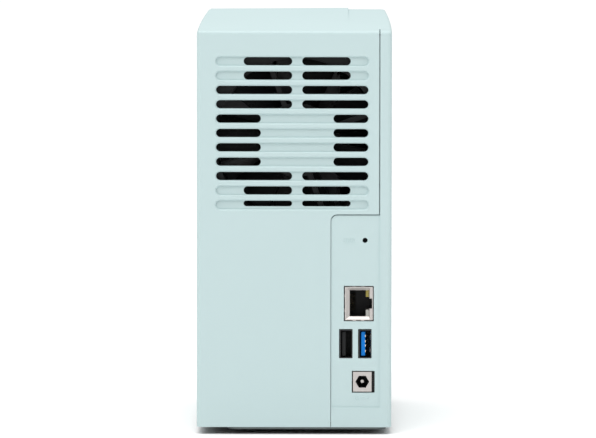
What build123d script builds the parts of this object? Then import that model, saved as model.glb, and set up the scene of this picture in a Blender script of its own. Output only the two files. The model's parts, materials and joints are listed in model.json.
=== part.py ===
from build123d import *
import os
from math import radians, tan

# A two-bay network storage enclosure. The front faces -Y and the rear +Y, +Z is up, and the
# origin lies on the ground under the middle of the case. Millimetres throughout.

# --- The case -------------------------------------------------------------------------------
WIDTH = 90.2            # across the rear face, its widest place
DEPTH = 156.2
HEIGHT = 188.0          # ground to the raised lip
SIDE_TAPER = 2.9        # each side curves in by this much on its way to the front
LIP_RISE = 0.7          # height of the lip above the top, at the front end of its ridge
LIP_RUN = 96.0          # length over which the lip fades out towards the rear
LIP_LOW = 0.25          # height of the lip at its far side
WALL = 2.2
EDGE_R = 1.2            # rounding along the top
REAR_CORNER_R = 2.0
FRONT_CORNER_R = 3.5
FOOT_DROP = 2.4         # how far the feet hold the base off the ground
BASE_SKIN = 1.0         # the part of the base that shows under the shells
BASE_PLATE = 1.6        # the part of the base inside the shells
BASE_GAP = 0.35         # base to the shells' inner faces
COLUMN_SET_BACK = 0.7   # the front column stands this far behind the front cover

# --- Seams between the lift-off cover and the fixed side shell ------------------------------
STRIP_WIDTH = 5.35      # side shell's strip along the rear and the top
PANEL_WIDTH = 28.0      # width of the rear panel that carries the sockets
PANEL_TOP = 101.9       # height of that panel's upper edge
PANEL_CORNER_R = 2.8
PANEL_SINK = 0.5        # the panel's shallow recess
PANEL_SILL = 12.7       # height of the recess's lower edge
COLUMN_WIDTH = 20.0     # front column's width, measured from the side at the rear
SEAM = 0.5
FINE_SEAM = 0.25
TONGUE = 0.9            # the lap behind each seam: its thickness
TONGUE_REACH = 2.4
CAP_DROP = 5.0          # the cover's top laps over the side shell by this much
CAP_REAR = 14.0         # but stops this far from the rear, where the strip runs up to the top
LAP_GAP = 0.1           # a lap's clearance from the wall that slides past it

# --- Grille and fan -------------------------------------------------------------------------
GRILLE_PATTERN = ("narrow", "narrow", "full", "full", "hub", "hub", "hub", "hub", "full",
                  "narrow", "last")
GRILLE_PITCH = 6.66
GRILLE_LENGTH = 70.4
SLOT_HEIGHT = 4.0
RECESS_DEPTH = 1.2
RECESS_BEVEL = 0.6
GRILLE_TOP_DROP = 14.0  # top of the case to the middle of the first row
GRILLE_SHIFT = 2.3      # fan axis to the middle of the rows
RIB_HALF = 2.33
HUB_HALF = 16.8
NARROW_HALF = 24.75
LAST_SLOT_HEIGHT = 2.7
SLOT_STEP = 0.1         # a slot is this much lower than its recess
FAN_X = -1.3
FAN_SIZE = 80.0
FAN_THICK = 25.0
FAN_GAP = 1.2           # fan to the rear wall
FAN_DUCT_WALL = 2.0     # the frame where the duct comes nearest its edge
FAN_HUB_R = 17.0
FAN_BLADES = 7
BLADE_TIP_GAP = 1.2
BLADE_THICK = 1.3
FAN_SCREW_EDGE = 4.25   # the frame's edge to its screw holes
FAN_HOLE_R = 1.6
FAN_HEAD_R = 2.7
FAN_HEAD = 1.6
SHAFT_R = 1.5
SHAFT_FIT = 0.05

# --- Drives, trays and cage -----------------------------------------------------------------
DRIVE_LONG = 147.0
DRIVE_WIDE = 101.6
DRIVE_THICK = 26.1
DRIVE_GAP = 0.3
TRAY_SIDE = 1.6
TRAY_BACK = 1.4
TRAY_END = 4.0
TRAY_GAP = 0.4
SHEET = 1.2             # the cage's sheet
CAGE_GAP = 1.1          # cage to the cover
BAYS = 2
DRIVE_LIFT = 17.0       # floor of the cage to the drives' lower ends
HANDLE_LONG = 40.0
HANDLE_WIDE = 20.0
HANDLE_THICK = 3.0
HANDLE_PIN_R = 1.0
PIN_FIT = 0.06
HANDLE_GAP = 0.6
EAR_THICK = 2.0
EAR_R = 2.6

# --- Boards ---------------------------------------------------------------------------------
BOARD_THICK = 1.6
SOLDER_GAP = 4.1        # main board to the side wall
BOARD_REAR_GAP = 1.9    # main board's edge to the rear wall
BOARD_FRONT_GAP = 12.0
BOARD_BOTTOM = 8.0
BOARD_TOP_GAP = 37.3    # main board to the top of the case
BOARD_FAN_GAP = 3.07    # main board to the fan's frame above its cut-away corner
BACKPLANE_LIFT = 6.6    # cage floor to the backplane
SCREW_R = 1.2
BOARD_SCREW_LONG = 4.0
SCREW_HEAD_R = 2.3
SCREW_HEAD = 1.6
BOSS_R = 2.8

# --- Sockets on the rear panel: heights above the ground, offsets from the board's face -----
LAN_Z = 60.9
LAN_SIZE = (12.9, 21.0, 15.5)
LAN_STAND = 0.8         # the network socket stands this far off the board on two feet
LAN_PORT = (8.7, 12.0, 12.0)
LAN_PORT_X = 7.0
LAN_SHEET = 0.3
LAN_LIP = 1.2           # depth of the bevelled mouth
LAN_RIM = 0.4           # flat rim round the bevel
LAN_NOTCH = (1.6, 4.7)
CUTOUT_GAP = 0.3
LAN_CUTOUT_GAP = 0.5
USB_Z = 42.1
USB_PORT = (5.1, 12.5)
USB_SHEET = 0.3
USB_DEPTH = 14.0
USB_UPPER_X = 13.1      # board's face to the middle of the upper port
USB_LOWER_X = 4.3
USB_GAP = 0.28
USB_SHIFT = 0.14        # each hole's middle from its sheath's, towards the seam and the top
TONGUE_INSET = 0.75     # sheath's inside to the tongue
TONGUE_BACK = 1.2       # sheath's mouth to the tongue's tip
TONGUE_LIP = 0.4        # a lip at the older port's tongue tip, over its contacts' ends
ROOT_LONG = 2.7
DC_Z = 24.5
DC_SIZE = (10.3, 14.0, 9.6)
DC_AXIS_X = 5.6
DC_HOLE_R = 3.2
DC_PIN_R = 0.95
DC_SINK = 1.0           # the inlet's block behind the panel's face
DC_HOLE_DEEP = 10.0
DC_PLATE = (8.6, 0.6, 9.2)
DC_PIN_LONG = 8.6
RESET_Z = 90.3
RESET_X = 4.4
PINHOLE_R = 1.2

# --- Front column ---------------------------------------------------------------------------
POWER_Z = 28.0
POWER_R = 4.2
COPY_Z = 46.0
COPY_R = 3.0
BUTTON_X = 5.4
BUTTON_GAP = 0.3
BUTTON_PROUD = 0.5
BUTTON_TRAVEL = 0.8
FRONT_USB_Z = 68.0
FRONT_USB_X = 3.6
LENS_R = 1.2
LENS_X = 1.9
LENS_FIRST_Z = 112.0
LENS_PITCH = 8.0
LENS_COUNT = 5

# --- Feet -----------------------------------------------------------------------------------
FOOT_R = 5.0
FOOT_SINK = 0.5
FOOT_EDGE_GAP = 25.0    # ends of the case to the feet
BASE_INSET = 2.6        # visible base, from the sides of the shells
BASE_INSET_FAR = 14.5   # the same, on the cover's side

# --- Values that follow from those above ----------------------------------------------------
REAR = DEPTH / 2
FRONT = -DEPTH / 2
HALF = WIDTH / 2
TOP = HEIGHT - LIP_RISE
SHELL_BOTTOM = FOOT_DROP + BASE_SKIN
FLOOR = SHELL_BOTTOM + BASE_PLATE
SIDE_R = (DEPTH ** 2 + SIDE_TAPER ** 2) / (2 * SIDE_TAPER)
INNER_REAR = REAR - WALL
PANEL_FACE = REAR - PANEL_SINK
SEAM_X = -HALF + STRIP_WIDTH
PANEL_X = -HALF + PANEL_WIDTH
COLUMN_X = -HALF + COLUMN_WIDTH
FAN_Z = TOP - GRILLE_TOP_DROP - GRILLE_PITCH * len(GRILLE_PATTERN) / 2
FAN_REAR = INNER_REAR - FAN_GAP
FAN_FRONT = FAN_REAR - FAN_THICK
BAY_WIDE = TRAY_BACK + DRIVE_GAP * 2 + DRIVE_THICK + TRAY_GAP
BAY_DEEP = DRIVE_WIDE + 2 * (DRIVE_GAP + TRAY_SIDE + TRAY_GAP)
CAGE_Y1 = FAN_FRONT
CAGE_Y0 = CAGE_Y1 - BAY_DEEP - 2 * SHEET
CAGE_X1 = HALF - WALL - (REAR - CAGE_Y0) ** 2 / (2 * SIDE_R) - CAGE_GAP
CAGE_X0 = CAGE_X1 - BAYS * BAY_WIDE - (BAYS + 1) * SHEET
DRIVE_Z0 = FLOOR + DRIVE_LIFT
DRIVE_Z1 = DRIVE_Z0 + DRIVE_LONG
TRAY_Z1 = DRIVE_Z1 + DRIVE_GAP + TRAY_END
CAGE_TOP = DRIVE_Z1 - 4.0
BOARD_BACK = -HALF + WALL + SOLDER_GAP
BOARD_FACE = BOARD_BACK + BOARD_THICK
BOARD_Y1 = INNER_REAR - BOARD_REAR_GAP
BOARD_Y0 = FRONT + BOARD_FRONT_GAP
BOARD_Y_NOTCH = FAN_FRONT - 3.0
BACKPLANE_Z = FLOOR + BACKPLANE_LIFT
BOARD_TALL = TOP - BOARD_TOP_GAP - BOARD_BOTTOM
COLUMN_FACE = FRONT + COLUMN_SET_BACK
FAN_FRAME_LOW = FAN_Z - FAN_SIZE / 2
FAN_DUCT_R = FAN_SIZE / 2 - FAN_DUCT_WALL
FAN_SCREW_SPACING = FAN_SIZE - 2 * FAN_SCREW_EDGE
BOARD_NOTCH = FAN_FRAME_LOW - BOARD_FAN_GAP
FAR = 400.0             # longer than the whole case


def block(x0, x1, y0, y1, z0, z1):
    """A box between three pairs of limits."""
    size = Box(x1 - x0, y1 - y0, z1 - z0)
    return Pos((x0 + x1) / 2, (y0 + y1) / 2, (z0 + z1) / 2) * size


def rod(x, y, z, radius, length, axis="Z"):
    """A round bar that starts at a point and runs the stated length along an axis."""
    bar = Cylinder(radius, length, align=(Align.CENTER, Align.CENTER, Align.MIN))
    turn = {"X": Rot(0, 90, 0), "Y": Rot(-90, 0, 0), "Z": Rot(0, 0, 0)}[axis]
    return Pos(x, y, z) * turn * bar


def plate_hole(x, y, z, across, tall, corner, depth):
    """A rounded rectangle that cuts along Y from a point, `across` in X and `tall` in Z."""
    outline = RectangleRounded(across, tall, corner)
    return Pos(x, y, z) * Rot(-90, 0, 0) * extrude(outline, depth)


def group(pieces):
    """Several separate solids that share one node."""
    return Compound(children=[solid for piece in pieces for solid in piece.solids()])


def save(name, shape):
    """Write one node."""
    export_step(shape, "parts/" + name + ".step")


# --- Case shells ----------------------------------------------------------------------------
def side_inset(y):
    """How far the curved side has come in at a place along Y."""
    return (REAR - y) ** 2 / (2 * SIDE_R)


def plan(inset, front_back=0.0):
    """The case's outline seen from above, shrunk by `inset`; each side is one long arc."""
    rear, front = REAR - inset, FRONT + inset + front_back
    middle = (rear + front) / 2
    half = [HALF - side_inset(y) - inset for y in (rear, middle, front)]
    outline = Polyline((-half[2], front), (half[2], front))
    outline += ThreePointArc((half[2], front), (half[1], middle), (half[0], rear))
    outline += Line((half[0], rear), (-half[0], rear))
    outline += ThreePointArc((-half[0], rear), (-half[1], middle), (-half[2], front))
    face = make_face(outline)
    front_corners = face.vertices().filter_by_position(Axis.Y, front - 1, front + 1)
    face = fillet(front_corners, max(FRONT_CORNER_R - inset, 0.5))
    rear_corners = face.vertices().filter_by_position(Axis.Y, rear - 0.01, rear + 0.01)
    rear_corners = rear_corners.filter_by(lambda v: abs(v.X) > half[0] - 0.01)
    return fillet(rear_corners, max(REAR_CORNER_R - inset, 0.5))


def tall(face, z0, z1):
    """A flat outline carried up from one height to another."""
    return Pos(0, 0, z0) * extrude(face, z1 - z0)


def case_block(front_back):
    """The outside of the case as a solid block with its top edges rounded."""
    body = tall(plan(0, front_back), SHELL_BOTTOM, TOP)
    return fillet(body.faces().sort_by(Axis.Z)[-1].edges(), EDGE_R)


def case_shell(front_back):
    """The whole case as one open-bottomed shell."""
    hollow = tall(plan(WALL, front_back), SHELL_BOTTOM - WALL, TOP - WALL)
    return case_block(front_back) - hollow


def panel_outline(grow, top_grow):
    """The socket panel's outline on the rear face, with one rounded corner at its top."""
    x0, x1 = -FAR, PANEL_X + grow
    z1 = PANEL_TOP + top_grow
    outline = Pos((x0 + x1) / 2, (z1 - FAR) / 2) * Rectangle(x1 - x0, z1 + FAR)
    corner = outline.vertices().sort_by(Axis.X)[-2:].sort_by(Axis.Y)[-1]
    return fillet(corner, PANEL_CORNER_R + grow)


def rear_panel_region(grow, top_grow, y0, y1):
    """The rear panel's outline carried through the rear wall."""
    flat = extrude(panel_outline(grow, top_grow), y1 - y0)
    return Pos(0, y1, 0) * Rot(90, 0, 0) * flat


def side_region(seam, fine):
    """All the space that belongs to the side shell, grown by the seams' widths."""
    cap = TOP - CAP_DROP + seam
    side = block(-FAR, SEAM_X + seam, -FAR, REAR - CAP_REAR, -FAR, cap)
    strip = block(-FAR, SEAM_X + seam, REAR - CAP_REAR - seam, FAR, -FAR, FAR)
    panel = rear_panel_region(fine, seam, INNER_REAR - 0.01, FAR)
    column = block(-FAR, COLUMN_X + seam, -FAR, COLUMN_FACE + WALL + 0.01, -FAR, cap)
    return side + strip + panel + column


def lip():
    """The raised front lip: a thin wedge, highest at its ridge, that fades to the rear."""
    sections = []
    ends = ((COLUMN_X + SEAM, LIP_RISE, LIP_RUN),
            (HALF - SIDE_TAPER - EDGE_R, LIP_LOW, LIP_RUN * 0.6))
    start = FRONT + EDGE_R
    for x, rise, run in ends:
        outline = Polyline((start, TOP - 0.5), (start + rise, TOP + rise), (start + run, TOP),
                           (start + run, TOP - 0.5), (start, TOP - 0.5))
        sections.append(Plane.YZ.offset(x) * make_face(outline))
    return loft(sections)


def slot_cut(x0, x1, z, height, y1, depth, bevel=0.0):
    """A round-ended slot cut forward from the rear face; the bevel widens its mouth."""
    def ring(grow):
        return SlotOverall(x1 - x0 + 2 * grow, height + 2 * grow)
    middle = Pos((x0 + x1) / 2, 0, z) * Rot(90, 0, 0)
    if bevel == 0.0:
        return Pos(0, y1, 0) * middle * extrude(ring(0), depth)
    mouth = loft([Pos(0, y1 - bevel, 0) * middle * ring(0), Pos(0, y1, 0) * middle * ring(bevel)])
    return mouth + Pos(0, y1 - bevel, 0) * middle * extrude(ring(0), depth - bevel)


def grille_cuts():
    """The grille's recesses and the slots through their floors, row by row from the top."""
    cuts = []
    first = FAN_X + GRILLE_SHIFT - GRILLE_LENGTH / 2
    end = first + GRILLE_LENGTH
    for row, kind in enumerate(GRILLE_PATTERN):
        z = TOP - GRILLE_TOP_DROP - row * GRILLE_PITCH
        cuts.append(slot_cut(first, end, z, SLOT_HEIGHT, REAR, RECESS_DEPTH, RECESS_BEVEL))
        height = LAST_SLOT_HEIGHT if kind == "last" else SLOT_HEIGHT - SLOT_STEP
        z_slot = z + (SLOT_HEIGHT - height) / 2
        near = HUB_HALF if kind == "hub" else RIB_HALF
        left, right = first, end
        if kind in ("narrow", "last"):
            left, right = FAN_X - NARROW_HALF, FAN_X + NARROW_HALF
        cuts.append(slot_cut(left, FAN_X - near, z_slot, height, REAR, WALL + 0.2))
        cuts.append(slot_cut(FAN_X + near, right, z_slot, height, REAR, WALL + 0.2))
    return cuts


def screw_post(x, y, z0, z1):
    """A round boss with a rib to the front wall, and a blind hole from below."""
    post = rod(x, y, z0, POST_R, z1 - z0)
    post += block(x - POST_RIB / 2, x + POST_RIB / 2, FRONT + WALL / 2, y, z0, z1)
    return post - rod(x, y, z0 - 1, POST_HOLE_R, z1 - z0 - POST_CROWN + 1)


COVER_POSTS = [(HALF - SIDE_TAPER - 9.0, FRONT + 9.5), (COLUMN_X + 12.0, FRONT + 9.5)]
POST_R = 3.2
POST_TOP = 24.0
POST_RIB = 1.6
POST_CROWN = 1.9        # solid end of the post, above its hole
LONG_SCREW_R = 1.5
LONG_SCREW_GAP = 0.15
POST_HOLE_R = LONG_SCREW_R + 0.35
LONG_HEAD_R = 2.6
LONG_HEAD_GAP = 0.2


def cover_shell():
    """The lift-off cover: far side, top, front and the rear wall with its grille."""
    cover = case_shell(0) - side_region(SEAM, FINE_SEAM) + lip()
    cover -= grille_cuts()
    for x, y in COVER_POSTS:
        cover += screw_post(x, y, FLOOR + 0.6, POST_TOP)
    return cover


BOARD_HOLES = [(BOARD_Y1 - 5.0, BOARD_BOTTOM + 3.5), (BOARD_Y1 - 22.0, BOARD_NOTCH - 4.0),
               (BOARD_Y0 + 5.0, BOARD_BOTTOM + 4.0), (BOARD_Y0 + 5.0, BOARD_BOTTOM + BOARD_TALL - 5.0),
               (BOARD_Y_NOTCH - 6.0, BOARD_BOTTOM + BOARD_TALL - 5.0)]
LENS_HEIGHTS = [LENS_FIRST_Z + step * LENS_PITCH for step in range(LENS_COUNT)]


def panel_cutouts():
    """The holes in the rear panel for the sockets and the reset pin."""
    reach = WALL + 1.0
    lan_x = BOARD_FACE + LAN_STAND + LAN_SIZE[0] / 2
    cuts = [plate_hole(lan_x, PANEL_FACE - reach, LAN_Z, LAN_SIZE[0] + 2 * LAN_CUTOUT_GAP,
                       LAN_SIZE[2] + 2 * LAN_CUTOUT_GAP, 0.4, reach + 1)]
    for x in (USB_LOWER_X, USB_UPPER_X):
        across = USB_PORT[0] + 2 * (USB_SHEET + USB_GAP)
        up = USB_PORT[1] + 2 * (USB_SHEET + USB_GAP)
        cuts.append(plate_hole(BOARD_FACE + x + USB_SHIFT, PANEL_FACE - reach, USB_Z + USB_SHIFT,
                               across, up, 0.3, reach + 1))
    cuts.append(plate_hole(BOARD_FACE + DC_SIZE[0] / 2, PANEL_FACE - reach, DC_Z,
                           DC_SIZE[0] + CUTOUT_GAP, DC_SIZE[2] + 2 * CUTOUT_GAP, 0.3, reach + 1))
    cuts.append(rod(BOARD_FACE + RESET_X, PANEL_FACE - reach, RESET_Z, PINHOLE_R, reach + 1, "Y"))
    return cuts


def column_cutouts():
    """The holes in the front column for buttons, lenses and the front socket."""
    depth = WALL + 1.0
    start = COLUMN_FACE - 0.5
    button_x = BOARD_FACE + BUTTON_X
    cuts = [rod(button_x, start, POWER_Z, POWER_R + BUTTON_GAP, depth, "Y"),
            rod(button_x, start, COPY_Z, COPY_R + BUTTON_GAP, depth, "Y")]
    cuts += [rod(BOARD_FACE + LENS_X, start, z, LENS_R + 0.02, depth, "Y") for z in LENS_HEIGHTS]
    across = USB_PORT[0] + 2 * (USB_SHEET + USB_GAP)
    up = USB_PORT[1] + 2 * (USB_SHEET + USB_GAP)
    cuts.append(plate_hole(BOARD_FACE + FRONT_USB_X, start, FRONT_USB_Z, across, up, 0.3, depth))
    return cuts


def seam_tongues():
    """Thin laps on the side shell that close each seam from behind."""
    near = TONGUE_REACH
    rear = block(SEAM_X - near, SEAM_X + near, INNER_REAR - TONGUE, INNER_REAR,
                 PANEL_TOP - near, TOP - WALL)
    level = block(SEAM_X - near, PANEL_X + near, INNER_REAR - TONGUE, INNER_REAR,
                  PANEL_TOP - near, PANEL_TOP + near)
    upright = block(PANEL_X - near, PANEL_X + near, INNER_REAR - TONGUE, INNER_REAR,
                    FLOOR + 0.5, PANEL_TOP + near)
    cap0, cap1 = TOP - CAP_DROP - near, TOP - WALL - 0.3
    ring = tall(plan(WALL / 2, COLUMN_SET_BACK), cap0, TOP - CAP_DROP)
    ring += tall(plan(WALL + LAP_GAP, COLUMN_SET_BACK), cap0, cap1)
    ring -= tall(plan(WALL + LAP_GAP + TONGUE, COLUMN_SET_BACK), cap0 - 1, cap1 + 1)
    crown = ring & (block(-FAR, SEAM_X, -FAR, REAR - CAP_REAR, cap0, cap1)
                    + block(-FAR, COLUMN_X, -FAR, COLUMN_FACE + FRONT_CORNER_R + WALL, cap0, cap1))
    corner = block(-HALF, SEAM_X, REAR - CAP_REAR - near, REAR - CAP_REAR + near,
                   TOP - WALL - TONGUE, TOP - WALL) & tall(plan(WALL + LAP_GAP), cap0, TOP)
    column = block(COLUMN_X - near / 2, COLUMN_X + near, COLUMN_FACE + WALL,
                   COLUMN_FACE + WALL + TONGUE, FLOOR + 0.5, TOP - CAP_DROP)
    return rear + level + upright + crown + corner + column


def side_shell():
    """The fixed shell: near side, the rear panel with the sockets, and the front column."""
    region = side_region(0, 0)
    side = case_shell(COLUMN_SET_BACK) & region
    sink = rear_panel_region(0, 0, PANEL_FACE, REAR + 1)
    sink &= block(SEAM_X, FAR, -FAR, FAR, PANEL_SILL, FAR)
    side -= sink
    side += seam_tongues()
    side -= panel_cutouts()
    side -= column_cutouts()
    for y, z in BOARD_HOLES:
        wall_x = -HALF + side_inset(y) + WALL / 2
        side += rod(wall_x, y, z, BOSS_R, BOARD_BACK - wall_x, "X")
        side -= rod(BOARD_FACE - BOARD_SCREW_LONG - 0.3, y, z, SCREW_R, 4.0, "X")
    return side


# --- Base -----------------------------------------------------------------------------------
FEET = [(x, y) for x in (-HALF + 9.5, HALF - BASE_INSET_FAR - 6.5)
        for y in (FRONT + FOOT_EDGE_GAP - 7.0, REAR - FOOT_EDGE_GAP - FOOT_R)]
CAGE_SCREWS = [(x, y) for x in (CAGE_X0 + 8.0, CAGE_X1 - 14.0)
               for y in (CAGE_Y0 + 26.0, CAGE_Y1 - 44.0)]
VENT_COUNT = 9
VENT_PITCH = 6.0
VENT_LONG, VENT_WIDE = 34.0, 2.6


def base_plate():
    """The dark base: a plate inside the shells and a thinner skin that shows below them."""
    plate = tall(plan(WALL + BASE_GAP, COLUMN_SET_BACK), SHELL_BOTTOM, FLOOR)
    plate -= block(PANEL_X - TONGUE_REACH - 0.6, PANEL_X + TONGUE_REACH + 0.6,
                   INNER_REAR - TONGUE - 0.3, REAR, SHELL_BOTTOM, FLOOR)
    x0, x1 = -HALF + BASE_INSET, HALF - BASE_INSET_FAR
    skin = Pos((x0 + x1) / 2, 0) * RectangleRounded(x1 - x0, DEPTH - 1.4, 4.0)
    skin = tall(skin, FOOT_DROP, SHELL_BOTTOM) & tall(plan(0.3), FOOT_DROP, SHELL_BOTTOM)
    base = plate + skin
    base -= [rod(x, y, FOOT_DROP - 1, FOOT_R + 0.1, 1 + FOOT_SINK) for x, y in FEET]
    for x, y in CAGE_SCREWS + COVER_POSTS:
        base -= rod(x, y, FOOT_DROP - 1, LONG_SCREW_R + LONG_SCREW_GAP, FLOOR)
        base -= rod(x, y, FOOT_DROP - 1, LONG_HEAD_R + LONG_HEAD_GAP, 1 + SCREW_HEAD)
    middle = (CAGE_X0 + CAGE_X1) / 2
    for step in range(VENT_COUNT):
        y = (step - (VENT_COUNT - 1) / 2) * VENT_PITCH
        vent = extrude(SlotOverall(VENT_LONG, VENT_WIDE), FLOOR)
        base -= Pos(middle - 4.0, y, FOOT_DROP - 1) * vent
    return base


def rubber_feet():
    """Four round feet let into the base."""
    return group([rod(x, y, 0, FOOT_R, FOOT_DROP + FOOT_SINK) for x, y in FEET])


def pan_screw(x, y, z, shank, head_r, head, length):
    """A screw driven upwards: its head's underside is at z and its shank rises from there."""
    screw = rod(x, y, z - head, head_r, head) + rod(x, y, z, shank, length)
    cross = block(x - 1.3, x + 1.3, y - 0.25, y + 0.25, z - head, z - head + 0.7)
    return screw - cross - (Pos(x, y, 0) * Rot(0, 0, 90) * Pos(-x, -y, 0) * cross)


CAGE_SCREW_LONG = 4.0
COVER_SCREW_LONG = 12.0


def base_screws():
    """Short screws that hold the cage to the base, and long ones up into the cover's posts."""
    z = FOOT_DROP + SCREW_HEAD
    places = [(x, y, CAGE_SCREW_LONG) for x, y in CAGE_SCREWS]
    places += [(x, y, COVER_SCREW_LONG) for x, y in COVER_POSTS]
    return group([pan_screw(x, y, z, LONG_SCREW_R, LONG_HEAD_R, SCREW_HEAD - 0.1, long)
                  for x, y, long in places])


# --- Cage, backplane and trays --------------------------------------------------------------
def bay_x(bay):
    """Lower X limit of a bay."""
    return CAGE_X0 + SHEET + bay * (BAY_WIDE + SHEET)


BACKPLANE_X0 = CAGE_X0 - 11.5
BACKPLANE_TAB = (-34.0, 26.0)
LINK_TOP = 4.0


def wall_windows(x, y0, y1, z0, z1):
    """Four rounded windows that lighten one wall of the cage."""
    cuts = []
    wide, high = (y1 - y0 - 30) / 2, (z1 - z0 - 36) / 2
    for row in range(2):
        for column in range(2):
            y = y0 + 10 + wide / 2 + column * (wide + 10)
            z = z0 + 24 + high / 2 + row * (high + 6)
            window = extrude(RectangleRounded(high, wide, 6), SHEET + 0.4)
            cuts.append(Pos(x - 0.2, y, z) * Rot(0, 90, 0) * window)
    return cuts


def drive_cage():
    """The folded sheet cage: a floor, a wall each side of every bay and a plate for the fan."""
    cage = block(CAGE_X0, CAGE_X1, CAGE_Y0, CAGE_Y1, FLOOR, FLOOR + SHEET)
    for bay in range(BAYS + 1):
        x = CAGE_X0 + bay * (BAY_WIDE + SHEET)
        cage += block(x, x + SHEET, CAGE_Y0, CAGE_Y1, FLOOR, CAGE_TOP)
    for z0, z1 in ((FLOOR, FLOOR + 26.0), (CAGE_TOP - 34.0, CAGE_TOP)):
        cage += block(CAGE_X0, CAGE_X1, CAGE_Y0, CAGE_Y0 + SHEET, z0, z1)
    cage += block(CAGE_X0, CAGE_X1, CAGE_Y1 - SHEET, CAGE_Y1, FLOOR, FLOOR + 26.0)
    edge = FAN_SIZE / 2
    cage += block(FAN_X - edge, CAGE_X1, CAGE_Y1 - SHEET, CAGE_Y1, FAN_Z - edge, FAN_Z + edge)
    cage -= rod(FAN_X, CAGE_Y1 - SHEET - 1, FAN_Z, FAN_DUCT_R, SHEET + 2, "Y")
    for x, z in fan_corners():
        cage -= rod(x, CAGE_Y1 - SHEET - 1, z, FAN_HOLE_R, SHEET + 2, "Y")
    for bay in range(BAYS + 1):
        x = CAGE_X0 + bay * (BAY_WIDE + SHEET)
        cage -= wall_windows(x, CAGE_Y0, CAGE_Y1, FLOOR, CAGE_TOP)
        if bay < BAYS:
            cage -= block(x - 1, x + SHEET + 1, BACKPLANE_TAB[0] - 1 if bay == 0 else CAGE_Y0 + 7.4,
                          BACKPLANE_TAB[1] + 1 if bay == 0 else CAGE_Y1 - 7.4,
                          BACKPLANE_Z - 0.6, BACKPLANE_Z + BOARD_THICK + 0.6)
    for x, y in CAGE_SCREWS:
        cage -= rod(x, y, FLOOR - 1, LONG_SCREW_R, 4)
    return cage


def fan_corners():
    """The four screw places of the fan, as (x, z)."""
    half = FAN_SCREW_SPACING / 2
    return [(FAN_X + i * half, FAN_Z + k * half) for i in (-1, 1) for k in (-1, 1)]


BACKPLANE_POSTS = [(CAGE_X0 + SHEET + 6.0, CAGE_Y0 + 12.0), (CAGE_X0 + SHEET + 6.0, CAGE_Y1 - 12.0),
                   (CAGE_X1 - SHEET - 6.0, CAGE_Y0 + 12.0), (CAGE_X1 - SHEET - 6.0, CAGE_Y1 - 12.0)]


def backplane_board():
    """The board under the bays; a tab on it passes through the cage to the main board."""
    x0, x1 = CAGE_X0 + SHEET + 0.4, CAGE_X1 - SHEET - 0.4
    board = block(x0, x1, CAGE_Y0 + 8.0, CAGE_Y1 - 8.0, BACKPLANE_Z, BACKPLANE_Z + BOARD_THICK)
    board += block(BACKPLANE_X0, x0, *BACKPLANE_TAB, BACKPLANE_Z, BACKPLANE_Z + BOARD_THICK)
    return board - [rod(x, y, BACKPLANE_Z - 1, SCREW_R + 0.1, 4) for x, y in BACKPLANE_POSTS]


def backplane_posts():
    """Four turned posts between the cage's floor and the backplane."""
    z0 = FLOOR + SHEET
    posts = [rod(x, y, z0, 2.5, BACKPLANE_Z - z0) - rod(x, y, z0 + 1, SCREW_R, BACKPLANE_Z)
             for x, y in BACKPLANE_POSTS]
    return group(posts)


SATA_LONG = 42.0
SATA_THICK = 5.6
SATA_SLOT = 2.4
SATA_SLOT_DEEP = 5.0
SATA_SHIFT = (-6.0, 15.0)  # the socket's middle from the bay's


def sata_connector(bay):
    """The upright drive socket of one bay: a housing with its two narrow slots."""
    x = bay_x(bay) + BAY_WIDE / 2 + SATA_SHIFT[0]
    y = (CAGE_Y0 + CAGE_Y1) / 2 + SATA_SHIFT[1]
    z0, z1 = BACKPLANE_Z + BOARD_THICK, DRIVE_Z0 - 0.4
    body = block(x - SATA_THICK / 2, x + SATA_THICK / 2, y - SATA_LONG / 2, y + SATA_LONG / 2, z0, z1)
    for y0, y1 in ((y - 18.5, y - 3.5), (y - 0.5, y + 18.5)):
        body -= block(x - SATA_SLOT / 2, x + SATA_SLOT / 2, y0, y1, z1 - SATA_SLOT_DEEP, z1 + 1)
    return body


def tray(bay):
    """One drive tray: a windowed back, two side walls and the end that carries the handle."""
    x0 = bay_x(bay) + TRAY_GAP / 2
    x1 = x0 + BAY_WIDE - TRAY_GAP
    y0, y1 = CAGE_Y0 + SHEET + TRAY_GAP, CAGE_Y1 - SHEET - TRAY_GAP
    z0 = DRIVE_Z0 + 6.0
    body = block(x0, x1, y0, y1, z0, TRAY_Z1)
    body -= block(x0 + TRAY_BACK, x1 + 1, y0 + TRAY_SIDE, y1 - TRAY_SIDE, z0 - 1, TRAY_Z1 - TRAY_END)
    window = extrude(RectangleRounded((TRAY_Z1 - z0) * 0.36, (y1 - y0) * 0.72, 8), TRAY_BACK + 1)
    for share in (0.27, 0.72):
        middle = z0 + (TRAY_Z1 - z0) * share
        body -= Pos(x0 - 0.5, (y0 + y1) / 2, middle) * Rot(0, 90, 0) * window
    body -= block(x0 + 5.0, x1 - 5.0, y1 - 34.0, y1 - 12.0, TRAY_Z1 - TRAY_END - 1, TRAY_Z1 + 1)
    middle = (x0 + x1) / 2
    pin_y, pin_z = handle_axis()
    for side in (-1, 1):
        ear_x = middle + side * (HANDLE_WIDE + HANDLE_GAP + EAR_THICK) / 2 - EAR_THICK / 2
        ear = block(ear_x, ear_x + EAR_THICK, pin_y - EAR_R, pin_y + EAR_R, TRAY_Z1, pin_z)
        body += ear + rod(ear_x, pin_y, pin_z, EAR_R, EAR_THICK, "X")
    reach = HANDLE_WIDE / 2 + 4.0
    return body - rod(middle - reach, pin_y, pin_z, HANDLE_PIN_R, 2 * reach, "X")


def handle_axis():
    """Where the handle's pin lies, as (y, z)."""
    return CAGE_Y0 + SHEET + TRAY_GAP + 6.0, TRAY_Z1 + HANDLE_THICK / 2 + 1.3


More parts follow.
